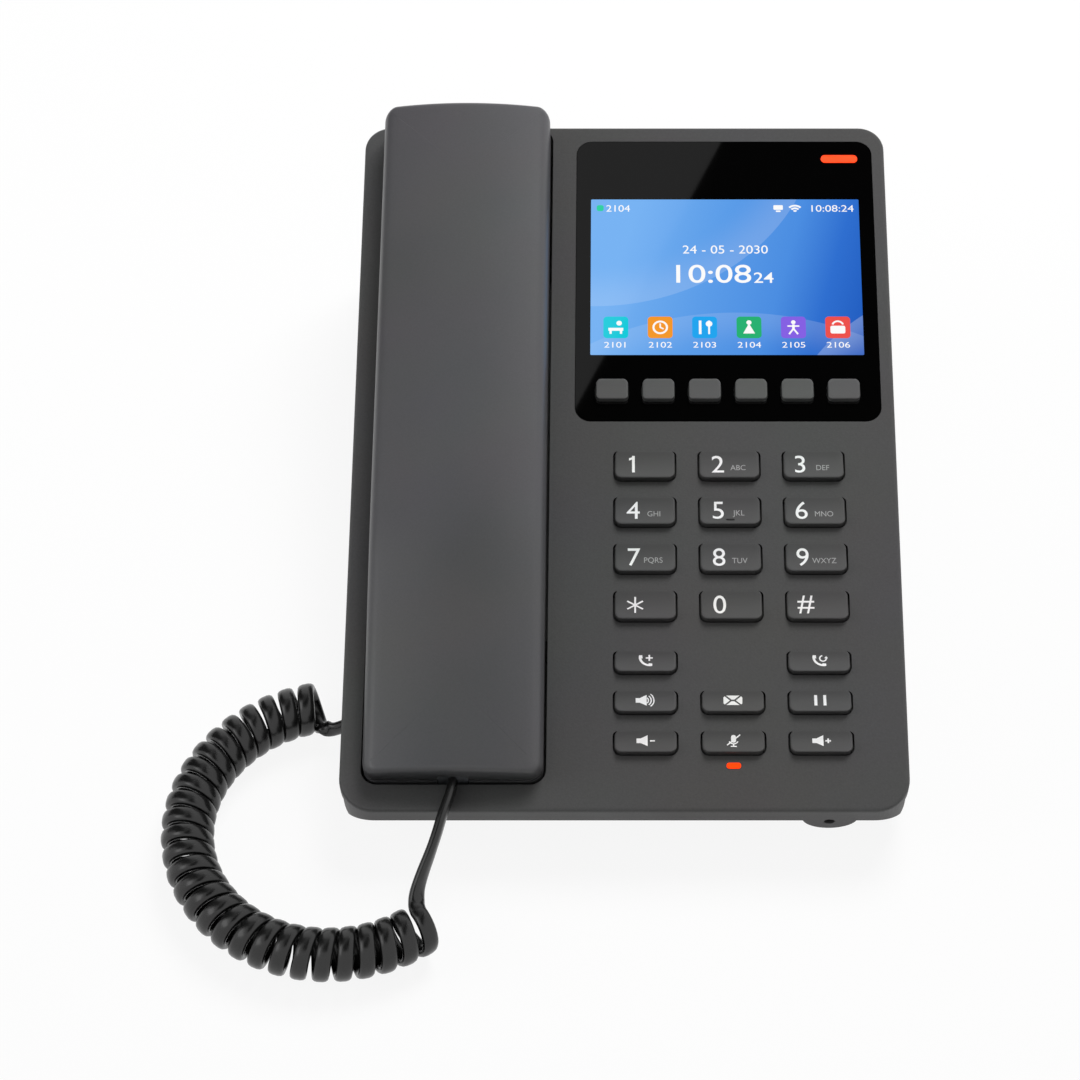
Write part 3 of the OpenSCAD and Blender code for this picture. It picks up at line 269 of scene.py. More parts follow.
def glow(name, colour):
    """One flat colour of the lit picture, with the glossy front over it."""
    material, tree, shader, place = start_material(name)
    grain = noise(tree, place, {"Scale": 2500.0})["Fac"]
    feed(tree, shader, {"Emission Color": mix(tree, grain, shaded(colour, 0.94), linear(colour)),
                        "Emission Strength": 1.0, "Base Color": linear("#020202"), "Roughness": 0.04})
    return material


def cord_pvc():
    """Extruded soft PVC: glossy black skin with a faint ripple along the lead."""
    material, tree, shader, place = start_material("cord_extruded_pvc")
    ripple = noise(tree, place, {"Scale": 260.0, "Detail": 2.0})["Fac"]
    feed(tree, shader, {"Base Color": mix(tree, ripple, linear("#0C0C0C"), linear("#161616")),
                        "Roughness": ranged(tree, ripple, 0.2, 0.3), "Normal": bump(tree, ripple, 0.15, 0.05),
                        "IOR": 1.53})
    return material


def window_acrylic():
    """Black-backed acrylic: deep black that shows what it mirrors, with a trace of haze."""
    material, tree, shader, place = start_material("window_polished_acrylic")
    haze = noise(tree, place, {"Scale": 60.0, "Detail": 3.0})["Fac"]
    feed(tree, shader, {"Roughness": ranged(tree, haze, 0.008, 0.03), "Base Color": linear("#030303"),
                        "IOR": 1.49})
    return material


def circuit_board():
    """Glass-epoxy laminate under green solder mask: faint weave and rows of solder pads."""
    material, tree, shader, place = start_material("board_glass_epoxy")
    pads = add_node(tree, "ShaderNodeTexBrick",
                    {"Scale": 1.0, "Color1": linear("#0E4A2A"), "Color2": linear("#125533"),
                     "Mortar": linear("#0A3A20"), "Mortar Size": 0.0002, "Brick Width": 0.004,
                     "Row Height": 0.0018}, {"Vector": place})
    dots = add_node(tree, "ShaderNodeTexVoronoi", {"Scale": 420.0}, {"Vector": place})
    tin = maths(tree, "LESS_THAN", dots.outputs["Distance"], 0.16)
    feed(tree, shader, {"Base Color": mix(tree, tin, pads.outputs["Color"], linear("#B9BCBE")),
                        "Roughness": 0.35})
    return material


# Name, colour, roughness, grain's size and depth in millimetres, and grain's spread in tone
PLASTICS = {
    # Charcoal ABS with a spark-eroded finish: matt, with a fine grit that sparkles slightly
    "case": ("case_moulded_abs", "#484848", 0.56, 0.55, 0.05, 0.22),
    # Handset ABS, a touch bluer and smoother than the case
    "handset": ("handset_moulded_abs", "#515153", 0.36, 0.5, 0.02, 0.14),
    # Key ABS, satin so that the scooped tops shade softly
    "key": ("key_satin_abs", "#434343", 0.42, 0.4, 0.015, 0.08),
    # Soft-key ABS, lighter so that the keys stand out of the black window
    "soft_key": ("soft_key_satin_abs", "#555555", 0.45, 0.4, 0.015, 0.08),
    # Pad-printed ink: nearly white and flat, and greyer for the small letters
    "ink": ("legend_pad_printed_ink", "#F4F4F4", 0.6, 0.3, 0.005, 0.03),
    "faint_ink": ("letters_pad_printed_ink", "#A2A2A2", 0.6, 0.3, 0.005, 0.03),
    # Clear polycarbonate of the plugs on the cord's ends
    "plug": ("plug_moulded_polycarbonate", "#55575A", 0.15, 0.8, 0.005, 0.05, 1.58),
    # Moulded rubber of the feet, silicone of the keypad's mat and foam of the display's gasket
    "rubber": ("feet_moulded_rubber", "#1B1B1B", 0.8, 0.6, 0.05, 0.2),
    "silicone": ("mat_moulded_silicone", "#B8B8B4", 0.6, 0.5, 0.02, 0.12),
    "foam": ("gasket_foam", "#2A2A2A", 0.95, 0.7, 0.15, 0.3),
    # Black nylon of the jacks, also laid on the raised bar under the figure 5 as painted shade, and pressed paper
    # of the speakers' cones
    "jack": ("jack_nylon_and_pip_painted_shade", "#141414", 0.45, 0.4, 0.02, 0.12),
    "cone": ("speaker_pressed_paper", "#262422", 0.9, 0.8, 0.08, 0.3),
}
MAT = {
    **{key: moulded_plastic(*made) for key, made in PLASTICS.items()},
    # Polished black acrylic over the display, and the display's lit picture
    "window": window_acrylic(),
    "display": lit_wallpaper(),
    # Orange-red polycarbonate, lit from behind
    "lens": lit_lens(),
    # Extruded PVC of the cord
    "cord": cord_pvc(),
    # Green laminate of the boards
    "board": circuit_board(),
    # Zinc-plated screws and nickel-plated shells
    "steel": metal("screw_zinc_plated_steel", "#B9BBBE", 0.32, 0.6),
    "plated": metal("jack_nickel_plated_shell", "#C9CBCC", 0.26, 0.5),
}


# ---- Mesh helpers ----

def link_object(name, data):
    """A new object in the scene."""
    made = bpy.data.objects.new(name, data)
    bpy.context.scene.collection.objects.link(made)
    return made


def plain_mesh(name, points, faces):
    mesh = bpy.data.meshes.new(name)
    mesh.from_pydata([tuple(p) for p in points], [], faces)
    return mesh


def evaluated_mesh(holder):
    """The mesh that an object gives once its curve or modifiers are worked out."""
    bpy.context.view_layer.update()
    return bpy.data.meshes.new_from_object(holder.evaluated_get(bpy.context.evaluated_depsgraph_get()))


def add_piece(name, mesh, body, node=None):
    """A mesh as a piece: on its body if it has one, and in place of a node."""
    piece = link_object(name, mesh)
    if body:
        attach(piece, body)
    if node:
        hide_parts(node)
    return piece


def sharpen(mesh, degrees):
    """Keeps edges sharper than this angle crisp on a smooth mesh."""
    work = bmesh.new()
    work.from_mesh(mesh)
    for edge in work.edges:
        if len(edge.link_faces) == 2 and edge.calc_face_angle(0) > math.radians(degrees):
            edge.smooth = False
    work.to_mesh(mesh)
    work.free()


def mesh_piece(name, points, faces, material, body, node=None, smooth=True, crisp=None):
    """A clean outward piece from points in metres, its edges left crisp over an angle in degrees."""
    mesh = plain_mesh(name, points, faces)
    mesh.materials.append(material)
    work = bmesh.new()
    work.from_mesh(mesh)
    bmesh.ops.remove_doubles(work, verts=work.verts, dist=1e-7)
    bmesh.ops.recalc_face_normals(work, faces=work.faces)
    work.to_mesh(mesh)
    work.free()
    mesh.polygons.foreach_set("use_smooth", [smooth] * len(mesh.polygons))
    if crisp:
        sharpen(mesh, crisp)
    return add_piece(name, mesh, body, node)


def ring_faces(count, rings, closed_start=True, closed_end=True):
    """Quads between rings of the same number of points, and a cap at each closed end."""
    faces = [(r * count + i, r * count + (i + 1) % count, (r + 1) * count + (i + 1) % count, (r + 1) * count + i)
             for r in range(rings - 1) for i in range(count)]
    if closed_start:
        faces.append(tuple(range(count))[::-1])
    if closed_end:
        faces.append(tuple((rings - 1) * count + i for i in range(count)))
    return faces


def around(radius, sides):
    """Points (x, y) round a circle."""
    return [(radius * math.cos(math.tau * k / sides), radius * math.sin(math.tau * k / sides))
            for k in range(sides)]


def round_outline(w, l, r_low, r_high, corner=8, side=10, end=6):
    """Points (x, y, outward x, outward y) round a rectangle with its own corner radii below and above."""
    points = []
    corners = [(w / 2 - r_low, -l / 2 + r_low, r_low, -90), (w / 2 - r_high, l / 2 - r_high, r_high, 0),
               (-w / 2 + r_high, l / 2 - r_high, r_high, 90), (-w / 2 + r_low, -l / 2 + r_low, r_low, 180)]
    for index, (cx, cy, r, start) in enumerate(corners):
        for k in range(corner + 1):
            a = math.radians(start + 90 * k / corner)
            points.append((cx + r * math.cos(a), cy + r * math.sin(a), math.cos(a), math.sin(a)))
        x0, y0, nx, ny = points[-1]
        next_x, next_y, next_r, next_start = corners[(index + 1) % 4]
        a = math.radians(next_start)
        x1, y1 = next_x + next_r * math.cos(a), next_y + next_r * math.sin(a)
        parts = side if index % 2 == 0 else end
        for k in range(1, parts):
            points.append((x0 + (x1 - x0) * k / parts, y0 + (y1 - y0) * k / parts, nx, ny))
    return points


def rounding_rings(outline, radii, height, parts):
    """Rings up a rounding, with its own radius at each point, from a wall to a top of height(x, y)."""
    rings = []
    for k in range(parts + 1):
        a = math.pi / 2 * k / parts
        ring = []
        for (x, y, nx, ny), r in zip(outline, radii):
            inset = r * (1 - math.cos(a))
            px, py = x - nx * inset, y - ny * inset
            ring.append((px, py, height(px, py) - r * (1 - math.sin(a))))
        rings.append(ring)
    return rings


def top_rings(edge, half_x, half_y, height, steps):
    """Rings over a top of height(x, y), from its edge in to a middle line of this half length."""
    rings = []
    for k in range(1, steps + 1):
        t = k / steps
        ring = [(x + (min(max(x, -half_x), half_x) - x) * t, y + (min(max(y, -half_y), half_y) - y) * t)
                for x, y, _ in edge]
        rings.append([(x, y, height(x, y)) for x, y in ring])
    return rings


def flattened(curve):
    """The mesh of a curve or text, which is then removed."""
    holder = link_object("holder", curve)
    mesh = evaluated_mesh(holder)
    bpy.data.objects.remove(holder)
    mesh.materials.clear()
    return mesh


def curve_mesh(loops):
    """A flat shape from closed loops (x, y) in millimetres, with the inner loops as holes, as a mesh."""
    curve = bpy.data.curves.new("loops", "CURVE")
    curve.dimensions = "2D"
    curve.fill_mode = "BOTH"
    for loop in loops:
        line = curve.splines.new("POLY")
        line.points.add(len(loop) - 1)
        for point, (x, y) in zip(line.points, loop):
            point.co = (x, y, 0, 1)
        line.use_cyclic_u = True
    return flattened(curve)


def text_mesh(words, size, centre, stretch, weight=0.0):
    """Plain figures or letters as a flat mesh in millimetres, centred on a point."""
    curve = bpy.data.curves.new("figures", "FONT")
    curve.body = words
    curve.size = size
    curve.offset = weight
    curve.align_x = "CENTER"
    mesh = flattened(curve)
    heights = [v.co.y for v in mesh.vertices]
    middle = (min(heights) + max(heights)) / 2
    for v in mesh.vertices:
        v.co = (v.co.x * stretch + centre[0], v.co.y - middle + centre[1], 0)
    return mesh


def cut_finely(mesh, longest):
    """Splits a flat mesh until no edge is longer than this, so that it can follow a curved surface."""
    work = bmesh.new()
    work.from_mesh(mesh)
    bmesh.ops.triangulate(work, faces=work.faces)
    for _ in range(6):
        long_edges = [e for e in work.edges if e.calc_length() > longest]
        if not long_edges:
            break
        bmesh.ops.subdivide_edges(work, edges=long_edges, cuts=1)
        bmesh.ops.triangulate(work, faces=[f for f in work.faces if len(f.verts) > 3])
    work.normal_update()
    work.to_mesh(mesh)
    work.free()


def flat_piece(name, parts, lift, materials, body, longest=None):
    """Flat meshes (mesh, material number) in millimetres laid on a surface: lift(x, y) is each point's place."""
    points, faces, slots = [], [], []
    for mesh, number in parts:
        if longest:
            cut_finely(mesh, longest)
        start = len(points)
        points += [lift(v.co.x, v.co.y) for v in mesh.vertices]
        for polygon in mesh.polygons:
            turn = polygon.vertices[:] if polygon.normal.z > 0 else polygon.vertices[::-1]
            faces.append(tuple(start + i for i in turn))
            slots.append(number)
        bpy.data.meshes.remove(mesh)
    mesh = plain_mesh(name, points, faces)
    for material in materials:
        mesh.materials.append(material)
    mesh.polygons.foreach_set("material_index", slots)
    add_piece(name, mesh, body)


# ---- Cord ----

def smooth_line(points):
    """A smooth curve through points, with the same number of steps between each pair."""
    line = []
    for i in range(len(points) - 1):
        a, b, c, d = points[max(i - 1, 0)], points[i], points[i + 1], points[min(i + 2, len(points) - 1)]
        for k in range(LEAD_PARTS):
            t = k / LEAD_PARTS
            line.append(0.5 * ((2 * b) + (c - a) * t + (2 * a - 5 * b + 4 * c - d) * t * t
                               + (3 * b - a - 3 * c + d) * t * t * t))
    line.append(points[-1])
    return line


def arc_angle(turn):
    """Where the coil is on its arc after so many turns."""
    return math.radians(COIL_FROM + (COIL_TO - COIL_FROM) * turn / COIL_TURNS)


def coil_point(turn):
    """The helix after so many turns: over the arc's top from its inner side to its outer side."""
    along = arc_angle(turn)
    phase = math.radians(COIL_START_PHASE - 360 * turn)
    radius = (COIL_D - CORD_T) / 2
    out = COIL_ARC_R + radius * math.cos(phase)
    return Vector((COIL_CENTRE[0] + out * math.cos(along), COIL_CENTRE[1] + out * math.sin(along),
                   COIL_D / 2 + COIL_LIFT + radius * math.sin(phase)))


def cord_line():
    """The whole cord's centreline, its width's direction at each point, and the ends of its coil."""
    steps = round(COIL_END_TURN * STEPS_PER_TURN)
    helix = [coil_point(COIL_END_TURN * i / steps) for i in range(steps + 1)]
    lead_in = smooth_line([Vector(p) for p in HANDSET_LEAD] + [helix[0], helix[4]])[:-LEAD_PARTS]
    lead_out = smooth_line([helix[-5], helix[-1]] + [Vector(p) for p in BASE_LEAD])[LEAD_PARTS:]
    line = lead_in[:-1] + helix + lead_out[1:]
    width = []
    for i in range(len(line)):
        turn = (i - len(lead_in) + 1) / STEPS_PER_TURN
        along = arc_angle(min(max(turn, 0), COIL_END_TURN))
        # 1 where the cord lies flat on the coil's axis, 0 where it stands on edge along the leads
        flat = (min(max(1 + turn / TWIST_IN, 0), 1)
                * min(max(1 + (COIL_END_TURN - turn) / TWIST_OUT, 0), 1))
        width.append((Vector((math.sin(along), -math.cos(along), 0)), flat))
    return line, width, len(lead_in) - 1, len(lead_in) + steps - LEAD_STEPS


def cord_tube(name, line, widths, body, node):
    """A flat lead swept along its line: wide along the coil's axis on the turns, on edge along the leads."""
    points = []
    for i, here in enumerate(line):
        heading = (line[min(i + 1, len(line) - 1)] - line[max(i - 1, 0)]).normalized()
        axis, flat = widths[i]
        upright = Vector((0, 0, 1)).cross(heading)
        upright = heading.cross(upright).normalized() if upright.length > 0.2 else Vector((0, 1, 0))
        wide = axis * flat + upright * (1 - flat)
        wide = (wide - heading * wide.dot(heading)).normalized()
        thin = heading.cross(wide)
        # A rounded flat section: a superellipse
        for c, s in around(1, CORD_SIDES):
            x = math.copysign(abs(c) ** CORD_POWERS[0], c) * CORD_W / 2
            y = math.copysign(abs(s) ** CORD_POWERS[1], s) * CORD_T / 2
            points.append((here + wide * x + thin * y) * MM)
    return mesh_piece(name, points, ring_faces(CORD_SIDES, len(line)), MAT["cord"], body, node,
                      crisp=75)


def metres(points):
    """Points in millimetres as plain lists in metres."""
    return [[c * MM for c in p] for p in points]


def length_of(points):
    """A line's length, in metres to the nearest millimetre."""
    return round(sum((b - a).length for a, b in zip(points, points[1:]))) * MM


cord, cord_width, first, last = cord_line()
lead_in, coil, lead_out = cord[:first + 1], cord[first:last + 1], cord[last:]
handset_cord = cord_tube("handset_cord_lead", lead_in, cord_width[:first + 1], None, "handset_lead")
coil_cord = cord_tube("curly_cord", coil, cord_width[first:last + 1], "base", "cord_coil")
base_cord = cord_tube("base_cord_lead", lead_out, cord_width[last:], "base", "base_lead")
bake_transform(handset_cord)
length_of(lead_in)
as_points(metres(lead_in))
length_of(coil)
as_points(metres(coil))
length_of(lead_out)
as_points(metres(lead_out[::-1]))


# ---- Handset back: crowned across, softly bent along its length ----

def handset_height(u, v):
    """Height of the handset's back over the face, before its shoulders are rounded."""
    run = BEND_V - v
    ramp = 0.5 * (run + math.sqrt(run * run + BEND_SOFTNESS * BEND_SOFTNESS)) - BEND_TRIM
    slope = (HANDSET_H - MOUTH_H) / (BEND_V - HANDSET_FRONT)
    mouth = min(max(run / (BEND_V - HANDSET_FRONT), 0), 1)
    rise = CROWN - FLATTER_MOUTH * mouth
    half = HANDSET_W / 2
    radius = (half * half + rise * rise) / (2 * rise)
    crown = rise - radius + math.sqrt(max(radius * radius - u * u, 0))
    return HANDSET_H - slope * max(ramp, 0) + crown - CROWN_TRIM


def handset_back_piece():
    """The handset's back shell, crowned outside and hollow inside."""
    half_l = HANDSET_L / 2
    mid_v = HANDSET_FRONT + half_l
    outline = round_outline(HANDSET_W, HANDSET_L, 3.5, 3.5, corner=10, side=72, end=22)
    count = len(outline)

    def height(x, y):
        return handset_height(x, y + mid_v)

    # Lower edge with its small parting groove, then up the wall
    rings = [[(x - nx * inset, y - ny * inset, PARTING_H + up) for x, y, nx, ny in outline]
             for inset, up in GROOVE]
    # Shoulder: wide along the sides, tight at the two ends
    shoulder = [SIDE_SHOULDER if abs(nx) > 0.98 else END_SHOULDER + (SIDE_SHOULDER - END_SHOULDER) * nx * nx
                for _, _, nx, _ in outline]
    rings += rounding_rings(outline, shoulder, height, 8)
    rings += top_rings(rings[-1], 0, half_l - HANDSET_W / 2, height, 12)
    points = [on_face(HANDSET_U + x, y + mid_v, w) for ring in rings for x, y, w in ring]
    faces = ring_faces(count, len(rings), closed_start=False, closed_end=False)
    # Inner lining, so that the shell has its thickness when the handset is lifted
    inner = len(points)
    for inset, up in LINING:
        points += [on_face(HANDSET_U + x - nx * inset, y - ny * inset + mid_v,
                           min(up, height(x * 0.9, y) - ROOF_T)) for x, y, nx, ny in outline]
    for outer, lining in ((0, inner), (inner, inner + count)):
        faces += [(outer + i, outer + (i + 1) % count, lining + (i + 1) % count, lining + i) for i in range(count)]
    faces.append(tuple(inner + count + i for i in range(count)))
    mesh_piece("handset_back_shell", points, faces, MAT["handset"], "handset", "handset_back")


handset_back_piece()


# ---- Keys ----

def key_top(y, l, rise, drop):
    """Height of a key's scooped top: level with the face at its upper edge, highest at its lower edge."""
    scoop_r = (l * l + drop * drop) / (2 * drop)
    reach = min(max(l / 2 - y, 0), l)
    return rise - drop + scoop_r - math.sqrt(scoop_r * scoop_r - reach * reach)


def key_piece(node, place, w, l, rise, drop, radii, fillet, rim_z, finish):
    """One key: skirt, rim that holds it in, contact post and sculpted cap."""
    outline = round_outline(w, l, *radii, corner=8, side=10, end=14)
    rings = [[(x + nx * out, y + ny * out, z) for x, y, nx, ny in outline]
             for out, z in ((KEY_RIM, -rim_z - RIM_T), (KEY_RIM, -rim_z), (0, -rim_z))]
    # The cap's upper edge closes its gap, where it lies flush with the face, and its rounding runs out
    closer = [(x, y + CLOSER * max(ny, 0) ** 4, nx, ny) for x, y, nx, ny in outline]
    soft = [fillet * (1 - RUN_OUT * max(ny, 0) ** 2 * min(drop, 1)) for _, _, _, ny in outline]

    def height(_, y):
        return key_top(y, l, rise, drop)

    rings.append([(x, y, -CLOSER_DEPTH) for x, y, _, _ in closer])
    rings += rounding_rings(closer, soft, height, 5)
    rings += top_rings(rings[-1], (w - l) / 2, 0, height, 7)
    u, v = place
    points = [on_face(u + x, v + y, z) for ring in rings for x, y, z in ring]
    faces = ring_faces(len(outline), len(rings), closed_end=False)
    start = len(points)
    for z in (-POST_END, -rim_z - RIM_T + POST_SUNK):
        points += [on_face(u + x, v + y, z) for x, y in around(POST_D / 2, POST_SIDES)]
    faces += [tuple(start + i for i in f) for f in ring_faces(POST_SIDES, 2)]
    mesh_piece(node + "_cap", points, faces, MAT[finish], node + "_body", node, crisp=50)


def arc(cx, cy, r, start, stop, steps=10):
    """Points on an arc, in degrees."""
    return [(cx + r * math.cos(math.radians(start + (stop - start) * k / steps)),
             cy + r * math.sin(math.radians(start + (stop - start) * k / steps))) for k in range(steps + 1)]


def disc(cx, cy, r, steps=14):
    """A round shape as one closed loop."""
    return arc(cx, cy, r, 0, 360, steps)[:-1]


def band(cx, cy, r, start, stop, thick):
    """A curved band as one closed loop."""
    return arc(cx, cy, r + thick / 2, start, stop) + arc(cx, cy, r - thick / 2, stop, start)


def bar(x0, y0, x1, y1, thick):
    """A straight band as one closed loop."""
    d = Vector((x1 - x0, y1 - y0)).normalized() * thick / 2
    return [(x0 - d.y, y0 + d.x), (x0 + d.y, y0 - d.x), (x1 + d.y, y1 - d.x), (x1 - d.y, y1 + d.x)]


def receiver(cx, cy, size):
    """A handset lying on the diagonal: a bowed grip with two ends."""
    bow = arc(0, 2.6, 3.1, 228, 312, 12)
    hollow = arc(0, 2.6, 2.45, 303, 237, 10)
    right_end = [(2.5, 0.85), (1.9, 1.45), (1.15, 0.85)]
    left_end = [(-x, y) for x, y in right_end[::-1]]
    a = math.radians(-45)
    return [(cx + size * (x * math.cos(a) - y * math.sin(a)), cy + size * (x * math.sin(a) + y * math.cos(a)))
            for x, y in bow + right_end + hollow + left_end]


def loudspeaker(cx):
    """A small speaker seen from the side, standing a little over the key's middle."""
    return [(cx - 1.5, -0.2), (cx - 0.45, -0.2), (cx + 1.3, -1.15), (cx + 1.3, 2.15), (cx - 0.45, 1.2),
            (cx - 1.5, 1.2)]


RECEIVER = receiver(-0.5, -0.15, 0.95)
# Each function key's plain symbol: closed loops in millimetres round the key's middle
SYMBOLS = {
    "flash_key": [RECEIVER, bar(1.0, 0.4, 1.0, 2.2, 0.42), bar(0.1, 1.3, 1.9, 1.3, 0.42)],
    "redial_key": [RECEIVER, band(1.0, 1.15, 0.85, 100, 380, 0.36), [(1.35, 1.2), (2.3, 1.2), (1.83, 1.85)]],
    "speaker_key": [loudspeaker(-1.0), band(-0.3, 0.5, 1.05, -48, 48, 0.3),
                    band(-0.3, 0.5, 1.75, -50, 50, 0.3), band(-0.3, 0.5, 2.45, -50, 50, 0.3)],
    "message_key": [[(-1.7, 1.95), (1.7, 1.95), (0.35, 0.75), (-0.35, 0.75)],
                    [(-2.1, 1.75), (-2.4, 1.4), (-2.4, -0.4), (-2.1, -0.75), (-0.75, 0.5)],
                    [(2.1, 1.75), (0.75, 0.5), (2.1, -0.75), (2.4, -0.4), (2.4, 1.4)],
                    [(-1.7, -0.95), (-0.35, 0.25), (0.35, 0.25), (1.7, -0.95)]],
    "hold_key": [bar(-1.15, -1.1, -1.15, 2.1, 0.75), bar(1.15, -1.1, 1.15, 2.1, 0.75)],
    "volume_down_key": [loudspeaker(-0.8), bar(1.1, 0.5, 2.3, 0.5, 0.4)],
    "volume_up_key": [loudspeaker(-0.8), bar(1.0, 0.5, 2.4, 0.5, 0.42), bar(1.7, -0.2, 1.7, 1.2, 0.42)],
    "mute_key": [arc(0, 1.6, 0.62, 0, 180, 8) + arc(0, 0.55, 0.62, 180, 360, 8),
                 band(0, 0.7, 1.15, 200, 340, 0.3), bar(0, -0.4, 0, -1.15, 0.36),
                 bar(-0.75, -1.25, 0.75, -1.25, 0.36), bar(-1.7, -0.9, 1.7, 2.3, 0.34)],
}


def key_legend(node, place, l, parts):
    """Printed figures on a key, laid on its sculpted top."""
    u, v = place
    flat_piece(node + "_legend", parts,
               lambda x, y: on_face(u + x, v + y, key_top(y, l, KEY_RISE, KEY_DROP) + INK_LIFT),
               [MAT["ink"], MAT["faint_ink"]], node + "_body", longest=INK_EDGE)


# The figures and small letters of the number keys, row by row
FIGURES = "123456789*0#"
LETTERS = ("", "ABC", "DEF", "GHI", "JKL", "MNO", "PQRS", "TUV", "WXYZ", "", "", "")
# Size, middle and stretch of the figures and of the small letters, in a key's own frame
FIGURE_SIZE, FIGURE_U, FIGURE_V, FIGURE_STRETCH = 8.0, -3.0, 0.3, 0.93
LETTER_SIZE, LETTER_V, LETTER_STRETCH = 2.5, -0.75, 0.84
# The star's middle and the reach of its spokes, and the flag that makes the figure 1's own longer
STAR_U, STAR_V, STAR_W, STAR_L, SPOKE_W = -2.6, 0.2, 2.35, 2.5, 0.45
FLAG_OF_1 = [(-4.15, 2.3), (-4.15, 1.6), (-2.9, 2.1), (-2.9, 2.76)]

for index, (figure, letters) in enumerate(zip(FIGURES, LETTERS)):
    node = {"*": "star_key", "#": "hash_key"}.get(figure, f"digit_{figure}_key")
    place = (WINDOW_U + (index % 3 - 1) * COL_PITCH, DIGIT_V - (index // 3) * DIGIT_PITCH)
    key_piece(node, place, CAP_W, DIGIT_L, KEY_RISE, KEY_DROP, KEY_RADII, KEY_FILLET, FACE_T + RIM_GAP, "key")
    if figure == "*":
        legend = [(curve_mesh([bar(STAR_U, STAR_V, STAR_U + STAR_W * x, STAR_V + STAR_L * y, SPOKE_W)]), 0)
                  for x, y in around(1, 12)[1::2]]
    else:
        # The figures of the right column stand a little further left
        further = 0.5 if index in (2, 5, 8) else 0.0
        legend = [(text_mesh(figure, FIGURE_SIZE, (FIGURE_U - further, FIGURE_V), FIGURE_STRETCH), 0)]
    if figure == "1":
        legend.append((curve_mesh([FLAG_OF_1]), 0))
    if letters:
        middle = (2.35 if len(letters) < 4 else 2.1, LETTER_V)
        legend.append((text_mesh(letters, LETTER_SIZE, middle, LETTER_STRETCH), 1))
    key_legend(node, place, DIGIT_L, legend)

# Raised bar under the figure 5, felt by a fingertip. It is coloured in the jacks' near-black nylon as painted
# shade, standing in for the shadow on its lower side that makes it look dark.
PIP_U, PIP_V, PIP_W, PIP_L, PIP_RISE, PIP_TAPER, PIP_SUNK = 0.1, -2.75, 2.5, 0.42, 0.3, 0.3, 0.05
pip = round_outline(PIP_W, PIP_L, 0.2, 0.2, corner=4, side=1, end=1)
pip_foot = key_top(PIP_V, DIGIT_L, KEY_RISE, KEY_DROP) - PIP_SUNK
pip_points = [on_face(WINDOW_U + PIP_U + x * (1 - PIP_TAPER * up),
                      DIGIT_V - DIGIT_PITCH + PIP_V + y * (1 - PIP_TAPER * up), pip_foot + PIP_RISE * up)
              for up in (0, 0.7, 1) for x, y, _, _ in pip]
mesh_piece("digit_5_pip", pip_points, ring_faces(len(pip), 3), MAT["jack"], "digit_5_key_body")

# Each function key's column and row
FUNCTIONS = [("flash_key", 0, 0), ("redial_key", 2, 0), ("speaker_key", 0, 1), ("message_key", 1, 1),
             ("hold_key", 2, 1), ("volume_down_key", 0, 2), ("mute_key", 1, 2), ("volume_up_key", 2, 2)]
for node, col, row in FUNCTIONS:
    place = (WINDOW_U + (col - 1) * COL_PITCH, FUNC_V - row * FUNC_PITCH)
    key_piece(node, place, CAP_W, FUNC_L, KEY_RISE, KEY_DROP, KEY_RADII, KEY_FILLET, FACE_T + RIM_GAP, "key")
    key_legend(node, place, FUNC_L, [(curve_mesh([loop]), 0) for loop in SYMBOLS[node]])

for i in range(6):
    key_piece(f"soft_key_{i + 1}", (WINDOW_U + (i - 2.5) * SOFT_PITCH, SOFT_V), SOFT_W, SOFT_L, SOFT_RISE,
              SOFT_DROP, SOFT_RADII, SOFT_FILLET, WINDOW_T + RIM_GAP, "soft_key")


# ---- Display: what the lit panel shows ----

# Heights over the lit panel of the picture's own front, its tiles and its figures
PICTURE_T, TILE_Z, FIGURE_Z = 0.09, 0.105, 0.12
TILE_COLOURS = ["#12CDDD", "#F79A2C", "#22A7F2", "#28B373", "#8762E6", "#F0524D"]
TILE_PITCH, TILE_SIZE, TILE_Y = 11.95, 6.7, -16.0
TILE_XS = [(i - 2.5) * TILE_PITCH for i in range(6)]
CAPTION_SIZE, CAPTION_Y, CAPTION_STRETCH = 2.5, TILE_Y - 5.4, 1.3


def on_picture(height):
    """Lays a point of the picture, measured from its middle, at a height over the face."""
    return lambda x, y: on_face(WINDOW_U + x, LCD_V + y, height)


def rounded(w, l, r, cx=0.0, cy=0.0):
    """A rounded rectangle as one closed loop."""
    return [(cx + x, cy + y) for x, y, _, _ in round_outline(w, l, r, r, corner=5, side=1, end=1)]


picture_outline = rounded(LCD_W, LCD_L, 0.3)
mesh_piece("display_picture", [on_picture(z)(x, y) for z in (0.0, PICTURE_T) for x, y in picture_outline],
           ring_faces(len(picture_outline), 2), MAT["display"], "base", smooth=False)

flat_piece("display_tiles", [(curve_mesh([rounded(TILE_SIZE, TILE_SIZE, 1.0, x, TILE_Y)]), i)
                             for i, x in enumerate(TILE_XS)],
           on_picture(TILE_Z), [glow(f"display_tile_{i + 1}", colour) for i, colour in enumerate(TILE_COLOURS)],
           "base")

